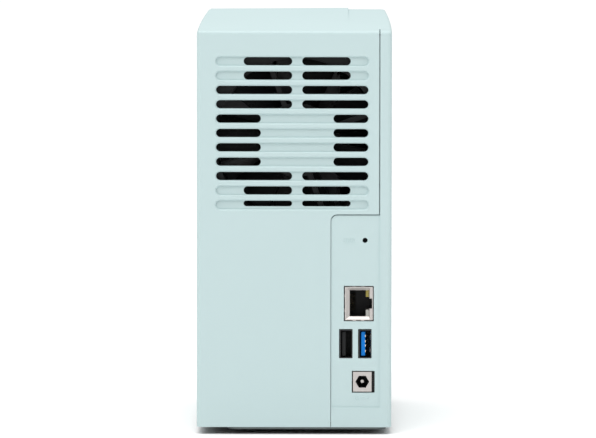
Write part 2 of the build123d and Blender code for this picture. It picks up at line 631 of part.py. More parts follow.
def tray_handle(bay):
    """The lever that lifts one tray; it lies flat until it is raised."""
    middle = bay_x(bay) + BAY_WIDE / 2
    y, z = handle_axis()
    half = HANDLE_WIDE / 2 - HANDLE_GAP / 2
    bar = block(middle - half, middle + half, y, y + HANDLE_LONG, z - HANDLE_THICK / 2,
                z + HANDLE_THICK / 2)
    tip = bar.edges().filter_by(Axis.Z).filter_by_position(Axis.Y, y + 1, y + HANDLE_LONG + 1)
    bar = fillet(tip, 5.0)
    bar -= Pos(middle, y + HANDLE_LONG - 14, z) * Box(HANDLE_WIDE - 9, 14, 10)
    bar += rod(middle - half, y, z, 2.3, 2 * half, "X")
    return bar - rod(middle - half - 1, y, z, HANDLE_PIN_R + PIN_FIT, 2 * half + 2, "X")


def handle_pin(bay):
    """The pin through one tray's ears and its handle."""
    middle = bay_x(bay) + BAY_WIDE / 2
    y, z = handle_axis()
    reach = (HANDLE_WIDE + HANDLE_GAP) / 2 + EAR_THICK
    return rod(middle - reach, y, z, HANDLE_PIN_R, 2 * reach, "X")


# --- Fan ------------------------------------------------------------------------------------
def fan_place(y):
    """Places a piece drawn about Z on the fan's axis, with its Z along +Y from a given place."""
    return Pos(FAN_X, y, FAN_Z) * Rot(-90, 0, 0)


FAN_STATOR = 3.0
BEARING_R = 3.0


def fan_frame():
    """The square frame with its round duct, corner holes, motor seat and four arms."""
    body = extrude(RectangleRounded(FAN_SIZE, FAN_SIZE, 4.5), FAN_THICK)
    body -= Pos(0, 0, -1) * extrude(Circle(FAN_DUCT_R), FAN_THICK + 2)
    waist = Pos(0, 0, 4.2) * extrude(RectangleRounded(FAN_SIZE + 2, FAN_SIZE + 2, 4.5)
                                     - RectangleRounded(FAN_SIZE - 1.4, FAN_SIZE - 1.4, 12),
                                     FAN_THICK - 8.4)
    body -= waist
    top = FAN_THICK - FAN_STATOR
    body += Pos(0, 0, top) * extrude(Circle(FAN_HUB_R), FAN_STATOR)
    for turn in range(4):
        arm = Pos((FAN_HUB_R + FAN_DUCT_R) / 2, 0, top + FAN_STATOR / 2) * Box(
            FAN_DUCT_R - FAN_HUB_R + 2, 2.4, FAN_STATOR)
        body += Rot(0, 0, 20 + 90 * turn) * arm
    body -= Pos(0, 0, top - 1) * extrude(Circle(BEARING_R), FAN_STATOR - 1.0 + 1)
    half = FAN_SCREW_SPACING / 2
    for i in (-1, 1):
        for k in (-1, 1):
            body -= Pos(i * half, k * half, 0) * Cylinder(FAN_HOLE_R, 2 * FAN_THICK + 4)
            body -= Pos(i * half, k * half, FAN_THICK) * Cylinder(FAN_HEAD_R + 0.1, 2 * FAN_HEAD)
    return fan_place(FAN_FRONT) * body


def fan_bearing():
    """The sleeve bearing in the motor seat."""
    length = FAN_STATOR - 1.0
    ring = extrude(Circle(BEARING_R) - Circle(SHAFT_R + SHAFT_FIT), length)
    return fan_place(FAN_REAR - FAN_STATOR) * ring


ROTOR_GAP = 1.0


def fan_rotor():
    """The hub and its twisted blades."""
    height = FAN_THICK - FAN_STATOR - 2 * ROTOR_GAP
    hub = extrude(Circle(FAN_HUB_R - 0.5), height)
    hub = fillet(hub.faces().sort_by(Axis.Z)[0].edges(), 1.5)
    tip = FAN_DUCT_R - BLADE_TIP_GAP
    sections = []
    for radius, chord, pitch in ((FAN_HUB_R - 2.0, 17.0, 50.0), (tip, 25.0, 32.0)):
        across = Plane(origin=(radius, 0, height / 2), x_dir=(0, 1, 0), z_dir=(1, 0, 0))
        sections.append(across * Rot(0, 0, pitch) * Rectangle(chord, BLADE_THICK))
    blade = loft(sections) & Cylinder(tip, height * 4)
    blades = [Rot(0, 0, 360 / FAN_BLADES * step) * blade for step in range(FAN_BLADES)]
    rotor = hub + blades
    rotor &= Cylinder(FAN_DUCT_R, height, align=(Align.CENTER, Align.CENTER, Align.MIN))
    rotor -= Pos(0, 0, height - 6) * extrude(Circle(SHAFT_R), 8)
    return fan_place(FAN_FRONT + ROTOR_GAP) * rotor


def fan_shaft():
    """The steel shaft pressed into the hub."""
    start = FAN_FRONT + ROTOR_GAP + FAN_THICK - FAN_STATOR - 2 * ROTOR_GAP - 6
    return rod(FAN_X, start, FAN_Z, SHAFT_R, FAN_REAR - 1.2 - start, "Y")


def fan_screws():
    """Four long screws, sunk into the fan's rear face, that reach the cage's plate."""
    screws = []
    for x, z in fan_corners():
        shank = rod(x, CAGE_Y1 - SHEET, z, FAN_HOLE_R - 0.05, FAN_THICK, "Y")
        head = rod(x, FAN_REAR - FAN_HEAD, z, FAN_HEAD_R, FAN_HEAD - 0.1, "Y")
        slot = Pos(x, FAN_REAR, z) * Box(1.0, 1.2, 3.4) + Pos(x, FAN_REAR, z) * Box(3.4, 1.2, 1.0)
        screws.append(shank + head - slot)
    return group(screws)


LEAD_R = 1.1
LEAD_OFF = 9.4          # board's face to the lead, where it leaves the fan
LEAD_IN = 9.0           # the same from the fan's rear face
PLUG_LONG, PLUG_TALL, HEADER_TALL = 7.0, 8.0, 2.2
HEADER_MARGIN = 0.4
LEAD_POINTS = [(-0.3, -8.5, 0), (-0.3, -8.5, -10.0), (-1.6, -14.5, -17.5), (-5.5, -22.0, -19.5),
               (-5.5, -31.0, -19.5)]


def lead_point(step):
    """A place along the lead, from its steps away from the frame's lower side."""
    return BOARD_FACE + LEAD_OFF + step[0], FAN_REAR - LEAD_IN + step[1], FAN_FRAME_LOW + step[2]


def fan_lead():
    """The sleeved lead from the fan's frame to its plug, in tangent arcs."""
    points = [Vector(*lead_point(step)) for step in LEAD_POINTS]
    runs = [points[i + 1] - points[i] for i in range(len(points) - 1)]
    radii = []
    for before, after in zip(runs, runs[1:]):
        turn = radians(before.get_angle(after))
        radii.append(0.45 * min(before.length, after.length) / tan(turn / 2))
    path = FilletPolyline(*points, radius=radii)
    start = Plane(origin=points[0], z_dir=runs[0])
    return sweep(start * Circle(LEAD_R), path=path)


def fan_plug():
    """The small plug on the lead's end."""
    x, y, z = lead_point(LEAD_POINTS[-1])
    half = PLUG_TALL / 2
    return block(BOARD_FACE + HEADER_TALL, x + 2 * LEAD_R, y - PLUG_LONG, y, z - half, z + half)


def fan_header():
    """The header on the main board under the plug."""
    x, y, z = lead_point(LEAD_POINTS[-1])
    half = PLUG_TALL / 2 + HEADER_MARGIN
    return block(BOARD_FACE, BOARD_FACE + HEADER_TALL, y - PLUG_LONG - HEADER_MARGIN,
                 y + HEADER_MARGIN, z - half, z + half)


# --- Main board -----------------------------------------------------------------------------
def main_board():
    """The upright main board, cut away where the fan stands behind it."""
    board = block(BOARD_BACK, BOARD_FACE, BOARD_Y0, BOARD_Y1, BOARD_BOTTOM,
                  BOARD_BOTTOM + BOARD_TALL)
    board -= block(BOARD_BACK - 1, BOARD_FACE + 1, BOARD_Y_NOTCH, BOARD_Y1 + 1, BOARD_NOTCH, FAR)
    return board - [rod(BOARD_BACK - 1, y, z, SCREW_R + 0.1, 4, "X") for y, z in BOARD_HOLES]


def board_screws():
    """The screws that hold the main board to the side shell and the backplane to its posts."""
    screw = pan_screw(0, 0, 0, SCREW_R, SCREW_HEAD_R, SCREW_HEAD, BOARD_SCREW_LONG)
    top = BACKPLANE_Z + BOARD_THICK
    screws = [Pos(BOARD_FACE, y, z) * Rot(0, -90, 0) * screw for y, z in BOARD_HOLES]
    screws += [Pos(x, y, top) * Rot(180, 0, 0) * screw for x, y in BACKPLANE_POSTS]
    return group(screws)


CPU_Y, CPU_Z = 4.0, 64.0
CPU_SIZE = 15.0
CPU_THICK = 1.4
SINK_SIZE = 34.0
SINK_BASE = 3.0
SINK_TALL = 10.5
SINK_FINS = 9


def processor():
    """The processor's package."""
    return block(BOARD_FACE, BOARD_FACE + CPU_THICK, CPU_Y - CPU_SIZE / 2, CPU_Y + CPU_SIZE / 2,
                 CPU_Z - CPU_SIZE / 2, CPU_Z + CPU_SIZE / 2)


def heat_sink():
    """The finned sink on the processor."""
    x = BOARD_FACE + CPU_THICK
    half = SINK_SIZE / 2
    sink = block(x, x + SINK_BASE, CPU_Y - half, CPU_Y + half, CPU_Z - half, CPU_Z + half)
    pitch = (SINK_SIZE - 1.4) / (SINK_FINS - 1)
    for fin in range(SINK_FINS):
        y = CPU_Y - half + fin * pitch
        sink += block(x, x + SINK_TALL, y, y + 1.4, CPU_Z - half, CPU_Z + half)
    return sink


def chips(places, thick):
    """Flat packages on the board, each (y, z, wide, tall)."""
    return group([block(BOARD_FACE, BOARD_FACE + thick, y - w / 2, y + w / 2, z - h / 2, z + h / 2)
                  for y, z, w, h in places])


MEMORY = [(4.0 + 26.0 * side, 96.0, 14.0, 9.0) for side in (-0.5, 0.5)]
SMALL_CHIPS = [(-34.0, 96.0, 9.0, 9.0), (34.0, 56.0, 8.0, 8.0), (-36.0, 72.0, 6.0, 5.0),
               (30.0, FAN_FRAME_LOW + 11.33, 12.0, 20.0)]
CAPACITORS = [(-20.0 + 11.0 * step, 122.0) for step in range(4)] + [(38.0, 30.0), (38.0, 20.0)]
CELL_Y, CELL_Z, CELL_R, CELL_THICK = -36.0, 34.0, 10.0, 3.2
HOLDER_WALL = 1.2
HOLDER_FLOOR = 1.2


def capacitors():
    """Round capacitors that stand on the board."""
    return group([rod(BOARD_FACE, y, z, 3.1, 7.5, "X") for y, z in CAPACITORS])


def coin_cell():
    """The clock's coin cell."""
    return rod(BOARD_FACE + HOLDER_FLOOR, CELL_Y, CELL_Z, CELL_R, CELL_THICK, "X")


def coin_cell_holder():
    """The ring that holds the coin cell, open on one side for a fingertip."""
    outer = CELL_R + 0.2 + HOLDER_WALL
    ring = rod(BOARD_FACE, CELL_Y, CELL_Z, outer, HOLDER_FLOOR + CELL_THICK - 0.8, "X")
    ring -= rod(BOARD_FACE + HOLDER_FLOOR, CELL_Y, CELL_Z, CELL_R + 0.2, CELL_THICK, "X")
    return ring - block(BOARD_FACE + HOLDER_FLOOR, BOARD_FACE + 9, CELL_Y - 4, CELL_Y + 4,
                        CELL_Z, CELL_Z + outer + 1)


def buzzer():
    """The round buzzer with its sound hole."""
    body = rod(BOARD_FACE, -38.0, 122.0, 4.5, 5.0, "X")
    return body - rod(BOARD_FACE + 3.0, -38.0, 122.0, 1.0, 4.0, "X")


def link_socket():
    """The edge socket on the main board that takes the backplane's tab."""
    x0, x1 = BOARD_FACE, BACKPLANE_X0 + 3.6
    z = BACKPLANE_Z + BOARD_THICK / 2
    y0, y1 = BACKPLANE_TAB
    body = block(x0, x1, y0 - 2.0, y1 + 2.0, max(z - LINK_TOP, BOARD_BOTTOM), z + LINK_TOP)
    return body - block(BACKPLANE_X0 - 0.2, x1 + 1, y0 - 0.2, y1 + 0.2,
                        z - BOARD_THICK / 2 - 0.05, z + BOARD_THICK / 2 + 0.05)


# --- Rear sockets ---------------------------------------------------------------------------
LAN_FACE = PANEL_FACE - 0.35
LAN_X = BOARD_FACE + LAN_PORT_X


def lan_shell():
    """The network socket's metal can, open at the rear face, with a bevelled mouth."""
    w, d, h = LAN_SIZE
    x0 = BOARD_FACE + LAN_STAND
    can = block(x0, x0 + w, LAN_FACE - d, LAN_FACE, LAN_Z - h / 2, LAN_Z + h / 2)
    for y in (LAN_FACE - d, LAN_FACE - 9.0):
        can += block(BOARD_FACE, x0, y, y + 3.0, LAN_Z - h / 2, LAN_Z + h / 2)
    pocket = block(x0 + LAN_SHEET, x0 + w - LAN_SHEET, LAN_FACE - d + LAN_SHEET, LAN_FACE - LAN_LIP,
                   LAN_Z - h / 2 + LAN_SHEET, LAN_Z + h / 2 - LAN_SHEET)
    across, up, _ = LAN_PORT
    rim0, rim1 = LAN_X - across / 2 - LAN_RIM, x0 + w - LAN_RIM
    mouth = loft([Pos(LAN_X, LAN_FACE - LAN_LIP - 0.1, LAN_Z) * Rot(90, 0, 0)
                  * Rectangle(across, up),
                  Pos((rim0 + rim1) / 2, LAN_FACE + 0.01, LAN_Z) * Rot(90, 0, 0)
                  * Rectangle(rim1 - rim0, h - 2 * LAN_RIM)])
    notch = block(LAN_X - across / 2 - LAN_NOTCH[0], LAN_X, LAN_FACE - LAN_LIP - 1, LAN_FACE + 1,
                  LAN_Z - LAN_NOTCH[1] / 2, LAN_Z + LAN_NOTCH[1] / 2)
    return can - pocket - mouth - notch


def lan_insert():
    """The black insulator inside the can, with the plug's space cut in it."""
    w, d, h = LAN_SIZE
    x0 = BOARD_FACE + LAN_STAND
    skin = LAN_SHEET + 0.05
    body = block(x0 + skin, x0 + w - skin, LAN_FACE - d + skin, LAN_FACE - LAN_LIP - 0.05,
                 LAN_Z - h / 2 + skin, LAN_Z + h / 2 - skin)
    across, up, deep = LAN_PORT
    body -= block(LAN_X - across / 2, LAN_X + across / 2, LAN_FACE - deep, LAN_FACE,
                  LAN_Z - up / 2, LAN_Z + up / 2)
    body -= block(LAN_X - across / 2 - LAN_NOTCH[0], LAN_X, LAN_FACE - deep, LAN_FACE,
                  LAN_Z - LAN_NOTCH[1] / 2, LAN_Z + LAN_NOTCH[1] / 2)
    for side in (-1, 1):
        body -= lan_lens(side, 0.02)
    return body


def lan_lens(side, grow=0.0):
    """One of the two small lenses beside the latch."""
    across, up, _ = LAN_PORT
    x0 = LAN_X - across / 2 - 0.15
    z = LAN_Z + side * (up / 2 - 1.4)
    return block(x0 - grow - 0.9, x0 + 1.5 + grow, LAN_FACE - 5.0 - grow,
                 LAN_FACE - 1.25 + grow, z - 1.6 - grow, z + 1.6 + grow)


LAN_CONTACTS = 8
CONTACT_PITCH = 1.02


def lan_contacts():
    """Eight slanting spring wires in the plug's space."""
    wires = []
    x = LAN_X + LAN_PORT[0] / 2
    y = LAN_FACE - LAN_PORT[2]
    for wire in range(LAN_CONTACTS):
        z = LAN_Z + (wire - (LAN_CONTACTS - 1) / 2) * CONTACT_PITCH
        outline = Polyline((x, y + 9.2), (x - 2.6, y + 1.2), (x - 2.2, y + 1.2), (x, y + 8.0),
                           (x, y + 9.2))
        wires.append(Pos(0, 0, z - 0.2) * extrude(make_face(outline), 0.4))
    return group(wires)


CONTACT_STEPS = (-3.5, -1.0, 1.0, 3.5)
CONTACT_WIDE = 1.0
CONTACT_THICK = 0.25


def usb_shell(x, z, face, direction):
    """One socket's metal sheath: an open rectangular tube with a closed end."""
    w, h = USB_PORT
    s = USB_SHEET
    y0, y1 = sorted((face, face - direction * USB_DEPTH))
    tube = block(x - w / 2 - s, x + w / 2 + s, y0, y1, z - h / 2 - s, z + h / 2 + s)
    cut0, cut1 = sorted((face + direction, face - direction * (USB_DEPTH - s)))
    return tube - block(x - w / 2, x + w / 2, cut0, cut1, z - h / 2, z + h / 2)


def usb_tongue(x, z, face, direction, thick, lip=0.0):
    """The insulating tongue and its root at the back of the sheath."""
    w, h = USB_PORT
    root_end = USB_DEPTH - USB_SHEET - ROOT_LONG
    root0, root1 = sorted((face - direction * (USB_DEPTH - USB_SHEET), face - direction * root_end))
    root = block(x - w / 2, x + w / 2, root0, root1, z - h / 2, z + h / 2)
    y0, y1 = sorted((face - direction * TONGUE_BACK, face - direction * (root_end + 1.0)))
    x1 = x + w / 2 - TONGUE_INSET
    half = h / 2 - TONGUE_INSET
    tongue = root + block(x1 - thick, x1, y0, y1, z - half, z + half)
    tip0, tip1 = sorted((face - direction * TONGUE_BACK, face - direction * (TONGUE_BACK + 0.8)))
    return tongue + block(x1 - thick - lip, x1, tip0, tip1, z - half, z + half)


def usb_contacts(x, z, face, direction, thick):
    """Four contact strips along the tongue."""
    strips = []
    x1 = x + USB_PORT[0] / 2 - TONGUE_INSET - thick
    y0, y1 = sorted((face - direction * (TONGUE_BACK + 1.0),
                     face - direction * (USB_DEPTH - USB_SHEET - ROOT_LONG)))
    for step in CONTACT_STEPS:
        strips.append(block(x1 - CONTACT_THICK, x1, y0, y1, z + step - CONTACT_WIDE / 2,
                            z + step + CONTACT_WIDE / 2))
    return group(strips)


USB_FACE = PANEL_FACE - 0.4
FRONT_USB_FACE = COLUMN_FACE + 0.3
TONGUE_2 = 1.15
TONGUE_3 = 1.75


def usb_housing():
    """The block that carries the two rear sheaths one above the other on the board."""
    half = USB_PORT[1] / 2 + USB_SHEET + 0.7
    x0, x1 = BOARD_FACE, BOARD_FACE + USB_UPPER_X + USB_PORT[0] / 2 + USB_SHEET + 0.5
    y1 = INNER_REAR - 0.6
    body = block(x0, x1, USB_FACE - USB_DEPTH - 3.0, y1, USB_Z - half, USB_Z + half)
    w, h, s = USB_PORT[0], USB_PORT[1], USB_SHEET
    for x in (USB_LOWER_X, USB_UPPER_X):
        centre = BOARD_FACE + x
        body -= block(centre - w / 2 - s, centre + w / 2 + s, USB_FACE - USB_DEPTH, y1 + 1,
                      USB_Z - h / 2 - s, USB_Z + h / 2 + s)
    return body


def dc_body():
    """The power inlet's moulded block, with the hole for the plug."""
    w, d, h = DC_SIZE
    face = PANEL_FACE - DC_SINK
    body = block(BOARD_FACE, BOARD_FACE + w, face - d, face, DC_Z - h / 2, DC_Z + h / 2)
    return body - rod(BOARD_FACE + DC_AXIS_X, face - DC_HOLE_DEEP, DC_Z, DC_HOLE_R, FAR, "Y")


def dc_face():
    """The inlet's bright face plate, with its six-sided hole."""
    face = PANEL_FACE - DC_SINK
    x = BOARD_FACE + DC_AXIS_X
    across, thick, up = DC_PLATE
    plate = block(x - across / 2, x + across / 2, face, face + thick, DC_Z - up / 2, DC_Z + up / 2)
    return plate - Pos(x, face - 1, DC_Z) * Rot(-90, 0, 0) * extrude(RegularPolygon(DC_HOLE_R, 6), 3)


def dc_pin():
    """The inlet's centre pin."""
    face = PANEL_FACE - DC_SINK
    pin = rod(BOARD_FACE + DC_AXIS_X, face - DC_HOLE_DEEP, DC_Z, DC_PIN_R, DC_PIN_LONG, "Y")
    return fillet(pin.faces().sort_by(Axis.Y)[-1].edges(), 0.4)


# --- Reset switch ---------------------------------------------------------------------------
RESET_FACE = INNER_REAR - 6.0
SWITCH_DEEP = 4.0
SWITCH_HALF = 3.2
PLUNGER_R = 1.6


def reset_switch():
    """The body of the small switch behind the pinhole."""
    body = block(BOARD_FACE, BOARD_FACE + RESET_X + 2.8, RESET_FACE - SWITCH_DEEP, RESET_FACE,
                 RESET_Z - SWITCH_HALF, RESET_Z + SWITCH_HALF)
    return body - rod(BOARD_FACE + RESET_X, RESET_FACE - 2.2, RESET_Z, PLUNGER_R + 0.1, 4, "Y")


def reset_plunger():
    """The switch's plunger, which a straightened clip presses."""
    return rod(BOARD_FACE + RESET_X, RESET_FACE - 1.2, RESET_Z, PLUNGER_R, 4.6, "Y")


# --- Front column pieces --------------------------------------------------------------------
BUTTON_FLANGE = 1.2
BUTTON_STEM_R = 1.4
SWITCH_GAP = 0.3


def front_button(z, radius):
    """A round button: a crowned cap, a flange behind the wall and a stem to its switch."""
    x = BOARD_FACE + BUTTON_X
    inner = COLUMN_FACE + WALL
    cap = rod(x, COLUMN_FACE - BUTTON_PROUD, z, radius, WALL + BUTTON_PROUD + 0.4, "Y")
    cap = fillet(cap.faces().sort_by(Axis.Y)[0].edges(), 0.4)
    flange = rod(x, inner + 0.2, z, radius + 0.8, BUTTON_FLANGE, "Y")
    stem_end = BOARD_Y0 - 1.4 - SWITCH_GAP - BUTTON_TRAVEL + 0.3
    return cap + flange + rod(x, inner + 1.0, z, BUTTON_STEM_R, stem_end - inner - 1.0, "Y")


def button_switches():
    """The two switches at the board's front edge, behind the buttons."""
    switches = []
    for z in (POWER_Z, COPY_Z):
        body = block(BOARD_FACE, BOARD_FACE + BUTTON_X + 2.6, BOARD_Y0, BOARD_Y0 + 4.0,
                     z - SWITCH_HALF, z + SWITCH_HALF)
        switches.append(body + rod(BOARD_FACE + BUTTON_X, BOARD_Y0 - 0.6, z, 1.5, 1.0, "Y"))
    return group(switches)


def status_lenses():
    """The column's light guides, one for each status light."""
    lenses = []
    for z in LENS_HEIGHTS:
        guide = rod(BOARD_FACE + LENS_X, COLUMN_FACE - 0.15, z, LENS_R, BOARD_Y0 - COLUMN_FACE, "Y")
        lenses.append(fillet(guide.faces().sort_by(Axis.Y)[0].edges(), 0.3))
    return group(lenses)


def status_lights():
    """The small lights at the board's edge, behind the guides."""
    y = BOARD_Y0 + 0.15
    return group([block(BOARD_FACE, BOARD_FACE + LENS_X + 1.2, y, y + 2.0, z - 1.4, z + 1.4)
                  for z in LENS_HEIGHTS])


# --- Write every node -----------------------------------------------------------------------
os.makedirs("parts", exist_ok=True)

rear_usb = dict(z=USB_Z, face=USB_FACE, direction=1)
front_usb = dict(x=BOARD_FACE + FRONT_USB_X, z=FRONT_USB_Z, face=FRONT_USB_FACE, direction=-1)
lower, upper = BOARD_FACE + USB_LOWER_X, BOARD_FACE + USB_UPPER_X

nodes = {
    "cover_shell": cover_shell(),
    "side_shell": side_shell(),
    "base_plate": base_plate(),
    "rubber_feet": rubber_feet(),
    "base_screws": base_screws(),
    "drive_cage": drive_cage(),
    "backplane_board": backplane_board(),
    "backplane_posts": backplane_posts(),
    "fan_frame": fan_frame(),
    "fan_bearing": fan_bearing(),
    "fan_rotor": fan_rotor(),
    "fan_shaft": fan_shaft(),
    "fan_screws": fan_screws(),
    "fan_lead": fan_lead(),
    "fan_plug": fan_plug(),
    "fan_header": fan_header(),
    "main_board": main_board(),
    "board_screws": board_screws(),
    "processor": processor(),
    "heat_sink": heat_sink(),
    "memory_chips": chips(MEMORY, 1.1),
    "small_chips": chips(SMALL_CHIPS, 0.9),
    "capacitors": capacitors(),
    "coin_cell": coin_cell(),
    "coin_cell_holder": coin_cell_holder(),
    "buzzer": buzzer(),
    "link_socket": link_socket(),
    "lan_shell": lan_shell(),
    "lan_insert": lan_insert(),
    "lan_contacts": lan_contacts(),
    "lan_lens_upper": lan_lens(1),
    "lan_lens_lower": lan_lens(-1),
    "usb_housing": usb_housing(),
    "usb2_shell": usb_shell(x=upper, **rear_usb),
    "usb2_tongue": usb_tongue(x=upper, thick=TONGUE_2, lip=TONGUE_LIP, **rear_usb),
    "usb2_contacts": usb_contacts(x=upper, thick=TONGUE_2, **rear_usb),
    "usb3_shell": usb_shell(x=lower, **rear_usb),
    "usb3_tongue": usb_tongue(x=lower, thick=TONGUE_3, **rear_usb),
    "usb3_contacts": usb_contacts(x=lower, thick=TONGUE_3, **rear_usb),
    "front_usb_shell": usb_shell(**front_usb),
    "front_usb_tongue": usb_tongue(thick=TONGUE_3, **front_usb),
    "front_usb_contacts": usb_contacts(thick=TONGUE_3, **front_usb),
    "dc_body": dc_body(),
    "dc_face": dc_face(),
    "dc_pin": dc_pin(),
    "reset_switch": reset_switch(),
    "reset_plunger": reset_plunger(),
    "power_button": front_button(POWER_Z, POWER_R),
    "copy_button": front_button(COPY_Z, COPY_R),
    "button_switches": button_switches(),
    "status_lenses": status_lenses(),
    "status_lights": status_lights(),
}
for bay in range(BAYS):
    number = str(bay + 1)
    nodes["sata_connector_" + number] = sata_connector(bay)
    nodes["tray_" + number] = tray(bay)
    nodes["tray_handle_" + number] = tray_handle(bay)
    nodes["handle_pin_" + number] = handle_pin(bay)

for name, shape in nodes.items():
    save(name, shape)
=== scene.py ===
# %% [markdown]
# # A desktop storage enclosure, seen from behind
#
# The CAD model already holds every piece at its real size. This file gives the pieces their
# finishes, adds the small moulded and stamped details that CAD left plain, and sets up the
# studio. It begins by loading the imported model, which stays exactly as it is.

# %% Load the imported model
import json
from math import radians

import bmesh
import bpy
import numpy as np
from mathutils import Matrix, Vector


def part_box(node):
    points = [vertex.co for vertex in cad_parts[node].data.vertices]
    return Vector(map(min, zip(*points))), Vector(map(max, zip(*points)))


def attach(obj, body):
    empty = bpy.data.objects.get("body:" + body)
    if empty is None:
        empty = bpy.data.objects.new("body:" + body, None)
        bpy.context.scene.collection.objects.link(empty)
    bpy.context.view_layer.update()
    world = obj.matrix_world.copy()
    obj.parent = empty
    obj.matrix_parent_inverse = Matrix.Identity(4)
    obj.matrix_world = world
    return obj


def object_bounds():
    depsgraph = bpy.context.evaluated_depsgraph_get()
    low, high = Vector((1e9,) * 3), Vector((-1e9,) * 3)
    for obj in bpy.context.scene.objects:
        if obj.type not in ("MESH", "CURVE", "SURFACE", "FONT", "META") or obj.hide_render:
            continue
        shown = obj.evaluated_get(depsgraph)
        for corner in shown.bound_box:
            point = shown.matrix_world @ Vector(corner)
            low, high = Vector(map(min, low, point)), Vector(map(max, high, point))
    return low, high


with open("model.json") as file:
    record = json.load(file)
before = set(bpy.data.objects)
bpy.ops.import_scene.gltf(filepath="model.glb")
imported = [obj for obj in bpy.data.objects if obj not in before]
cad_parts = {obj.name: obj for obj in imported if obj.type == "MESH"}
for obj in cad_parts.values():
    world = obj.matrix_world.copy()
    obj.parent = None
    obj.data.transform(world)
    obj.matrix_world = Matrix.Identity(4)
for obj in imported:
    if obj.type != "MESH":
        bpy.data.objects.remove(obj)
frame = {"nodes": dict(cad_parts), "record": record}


def flat_numbers(corners):
    """Two corners as one plain list of lists of numbers."""
    return [[float(v) for v in corner] for corner in corners]


cad_box = flat_numbers(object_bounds())
MM = 0.001
nodes = frame["nodes"]
print("CAD box in mm", [[round(v / MM, 1) for v in corner] for corner in cad_box])

# %% [markdown]
# ## The studio
#
# A product picture on a white page is lit by very large soft lamps, so that the flat faces
# come out almost even and only the edges catch a line of light. The top faces the main lamp
# and the bright middle of the sky, so it is the brightest face. The rear face gets its light
# from the same lamp, from the sky near the horizon and from a weaker lamp at the side. The
# camera stands far away with a long lens, which keeps upright edges almost parallel.

# %% Camera, from a long way off
REAR_Y = cad_box[1][1]
IMAGE_WIDTH = 596
SENSOR_WIDTH = 36.0
CAMERA_BACK = 4.6          # from the rear face
CAMERA_SIDE = -0.0331
CAMERA_HEIGHT = 0.5014
CAMERA_PITCH = 4.984       # degrees, looking down
CAMERA_YAW = -0.3906
CAMERA_ROLL = -0.0603
FOCAL_PIXELS = 9978.9

camera_data = bpy.data.cameras.new("studio_camera")
camera_data.sensor_width = SENSOR_WIDTH
camera_data.lens = FOCAL_PIXELS / IMAGE_WIDTH * SENSOR_WIDTH
camera_data.clip_end = 30.0
camera = bpy.data.objects.new("studio_camera", camera_data)
bpy.context.scene.collection.objects.link(camera)
camera.location = (CAMERA_SIDE, REAR_Y + CAMERA_BACK, CAMERA_HEIGHT)
turn = Matrix.Rotation(radians(180 - CAMERA_YAW), 4, "Z")
tilt = Matrix.Rotation(radians(90 - CAMERA_PITCH), 4, "X")
roll = Matrix.Rotation(radians(-CAMERA_ROLL), 4, "Z")
camera.rotation_euler = (turn @ tilt @ roll).to_euler()
bpy.context.scene.camera = camera
print("camera lens in mm", round(camera_data.lens, 1))

# %% Floor, world and lamps
def add_object(name, mesh, material):
    """A new object at the origin that carries the mesh and its material."""
    thing = bpy.data.objects.new(name, mesh)
    bpy.context.scene.collection.objects.link(thing)
    mesh.materials.append(material)
    return thing


def area_lamp(name, place, target, size, watts, tint=(1.0, 1.0, 1.0)):
    """A soft rectangular lamp at a place, aimed at a target."""
    lamp = bpy.data.lights.new(name, "AREA")
    lamp.shape = "RECTANGLE"
    lamp.size, lamp.size_y = size
    lamp.energy = watts
    lamp.color = tint
    holder = bpy.data.objects.new(name, lamp)
    bpy.context.scene.collection.objects.link(holder)
    holder.location = place
    aim = Vector(target) - Vector(place)
    holder.rotation_euler = aim.to_track_quat("-Z", "Y").to_euler()


HORIZON_LIGHT = 0.16
ZENITH_LIGHT = 1.5
FULL_LIGHT_FROM = 0.9      # how high, from nought to one, the sky reaches its full light
FLOOR_HALF = 8.0
FLOOR_STEPS = 9
u = np.linspace(-FLOOR_HALF, FLOOR_HALF, FLOOR_STEPS)
floor_x, floor_y = np.meshgrid(u, u)
floor_points = np.stack([floor_x, floor_y, np.zeros_like(floor_x)], -1).reshape(-1, 3)
index = np.arange(FLOOR_STEPS ** 2).reshape(FLOOR_STEPS, FLOOR_STEPS)
floor_faces = np.stack([index[:-1, :-1], index[:-1, 1:], index[1:, 1:], index[1:, :-1]], -1)
floor_mesh = bpy.data.meshes.new("studio_floor")
floor_mesh.from_pydata(floor_points.tolist(), [], floor_faces.reshape(-1, 4).tolist())
floor_material = bpy.data.materials.new("studio_floor")
floor_material.use_nodes = True
floor_shader = floor_material.node_tree.nodes["Principled BSDF"]
floor_shader.inputs["Base Color"].default_value = (0.96, 0.96, 0.96, 1.0)
floor_shader.inputs["Roughness"].default_value = 0.6
floor = add_object("studio_floor", floor_mesh, floor_material)

# The sky is white, brighter overhead than at the horizon, as under a large ceiling lamp.
world = bpy.data.worlds.new("studio_world")
bpy.context.scene.world = world
world.use_nodes = True
sky = world.node_tree
direction = sky.nodes.new("ShaderNodeTexCoord")
split = sky.nodes.new("ShaderNodeSeparateXYZ")
climb = sky.nodes.new("ShaderNodeMapRange")
climb.inputs["From Max"].default_value = FULL_LIGHT_FROM
climb.inputs["To Min"].default_value = HORIZON_LIGHT
climb.inputs["To Max"].default_value = ZENITH_LIGHT
sky.links.new(direction.outputs["Generated"], split.inputs[0])
sky.links.new(split.outputs["Z"], climb.inputs["Value"])
sky.links.new(climb.outputs["Result"], sky.nodes["Background"].inputs["Color"])

middle = (0.0, 0.0, 0.09)
area_lamp("lamp_over", (0.15, 0.75, 1.35), middle, (0.9, 0.9), 9.0, (1.05, 1.0, 0.99))
area_lamp("lamp_side", (1.3, 0.9, 0.8), middle, (1.0, 1.0), 1.5)
bpy.context.scene.view_settings.view_transform = "Standard"

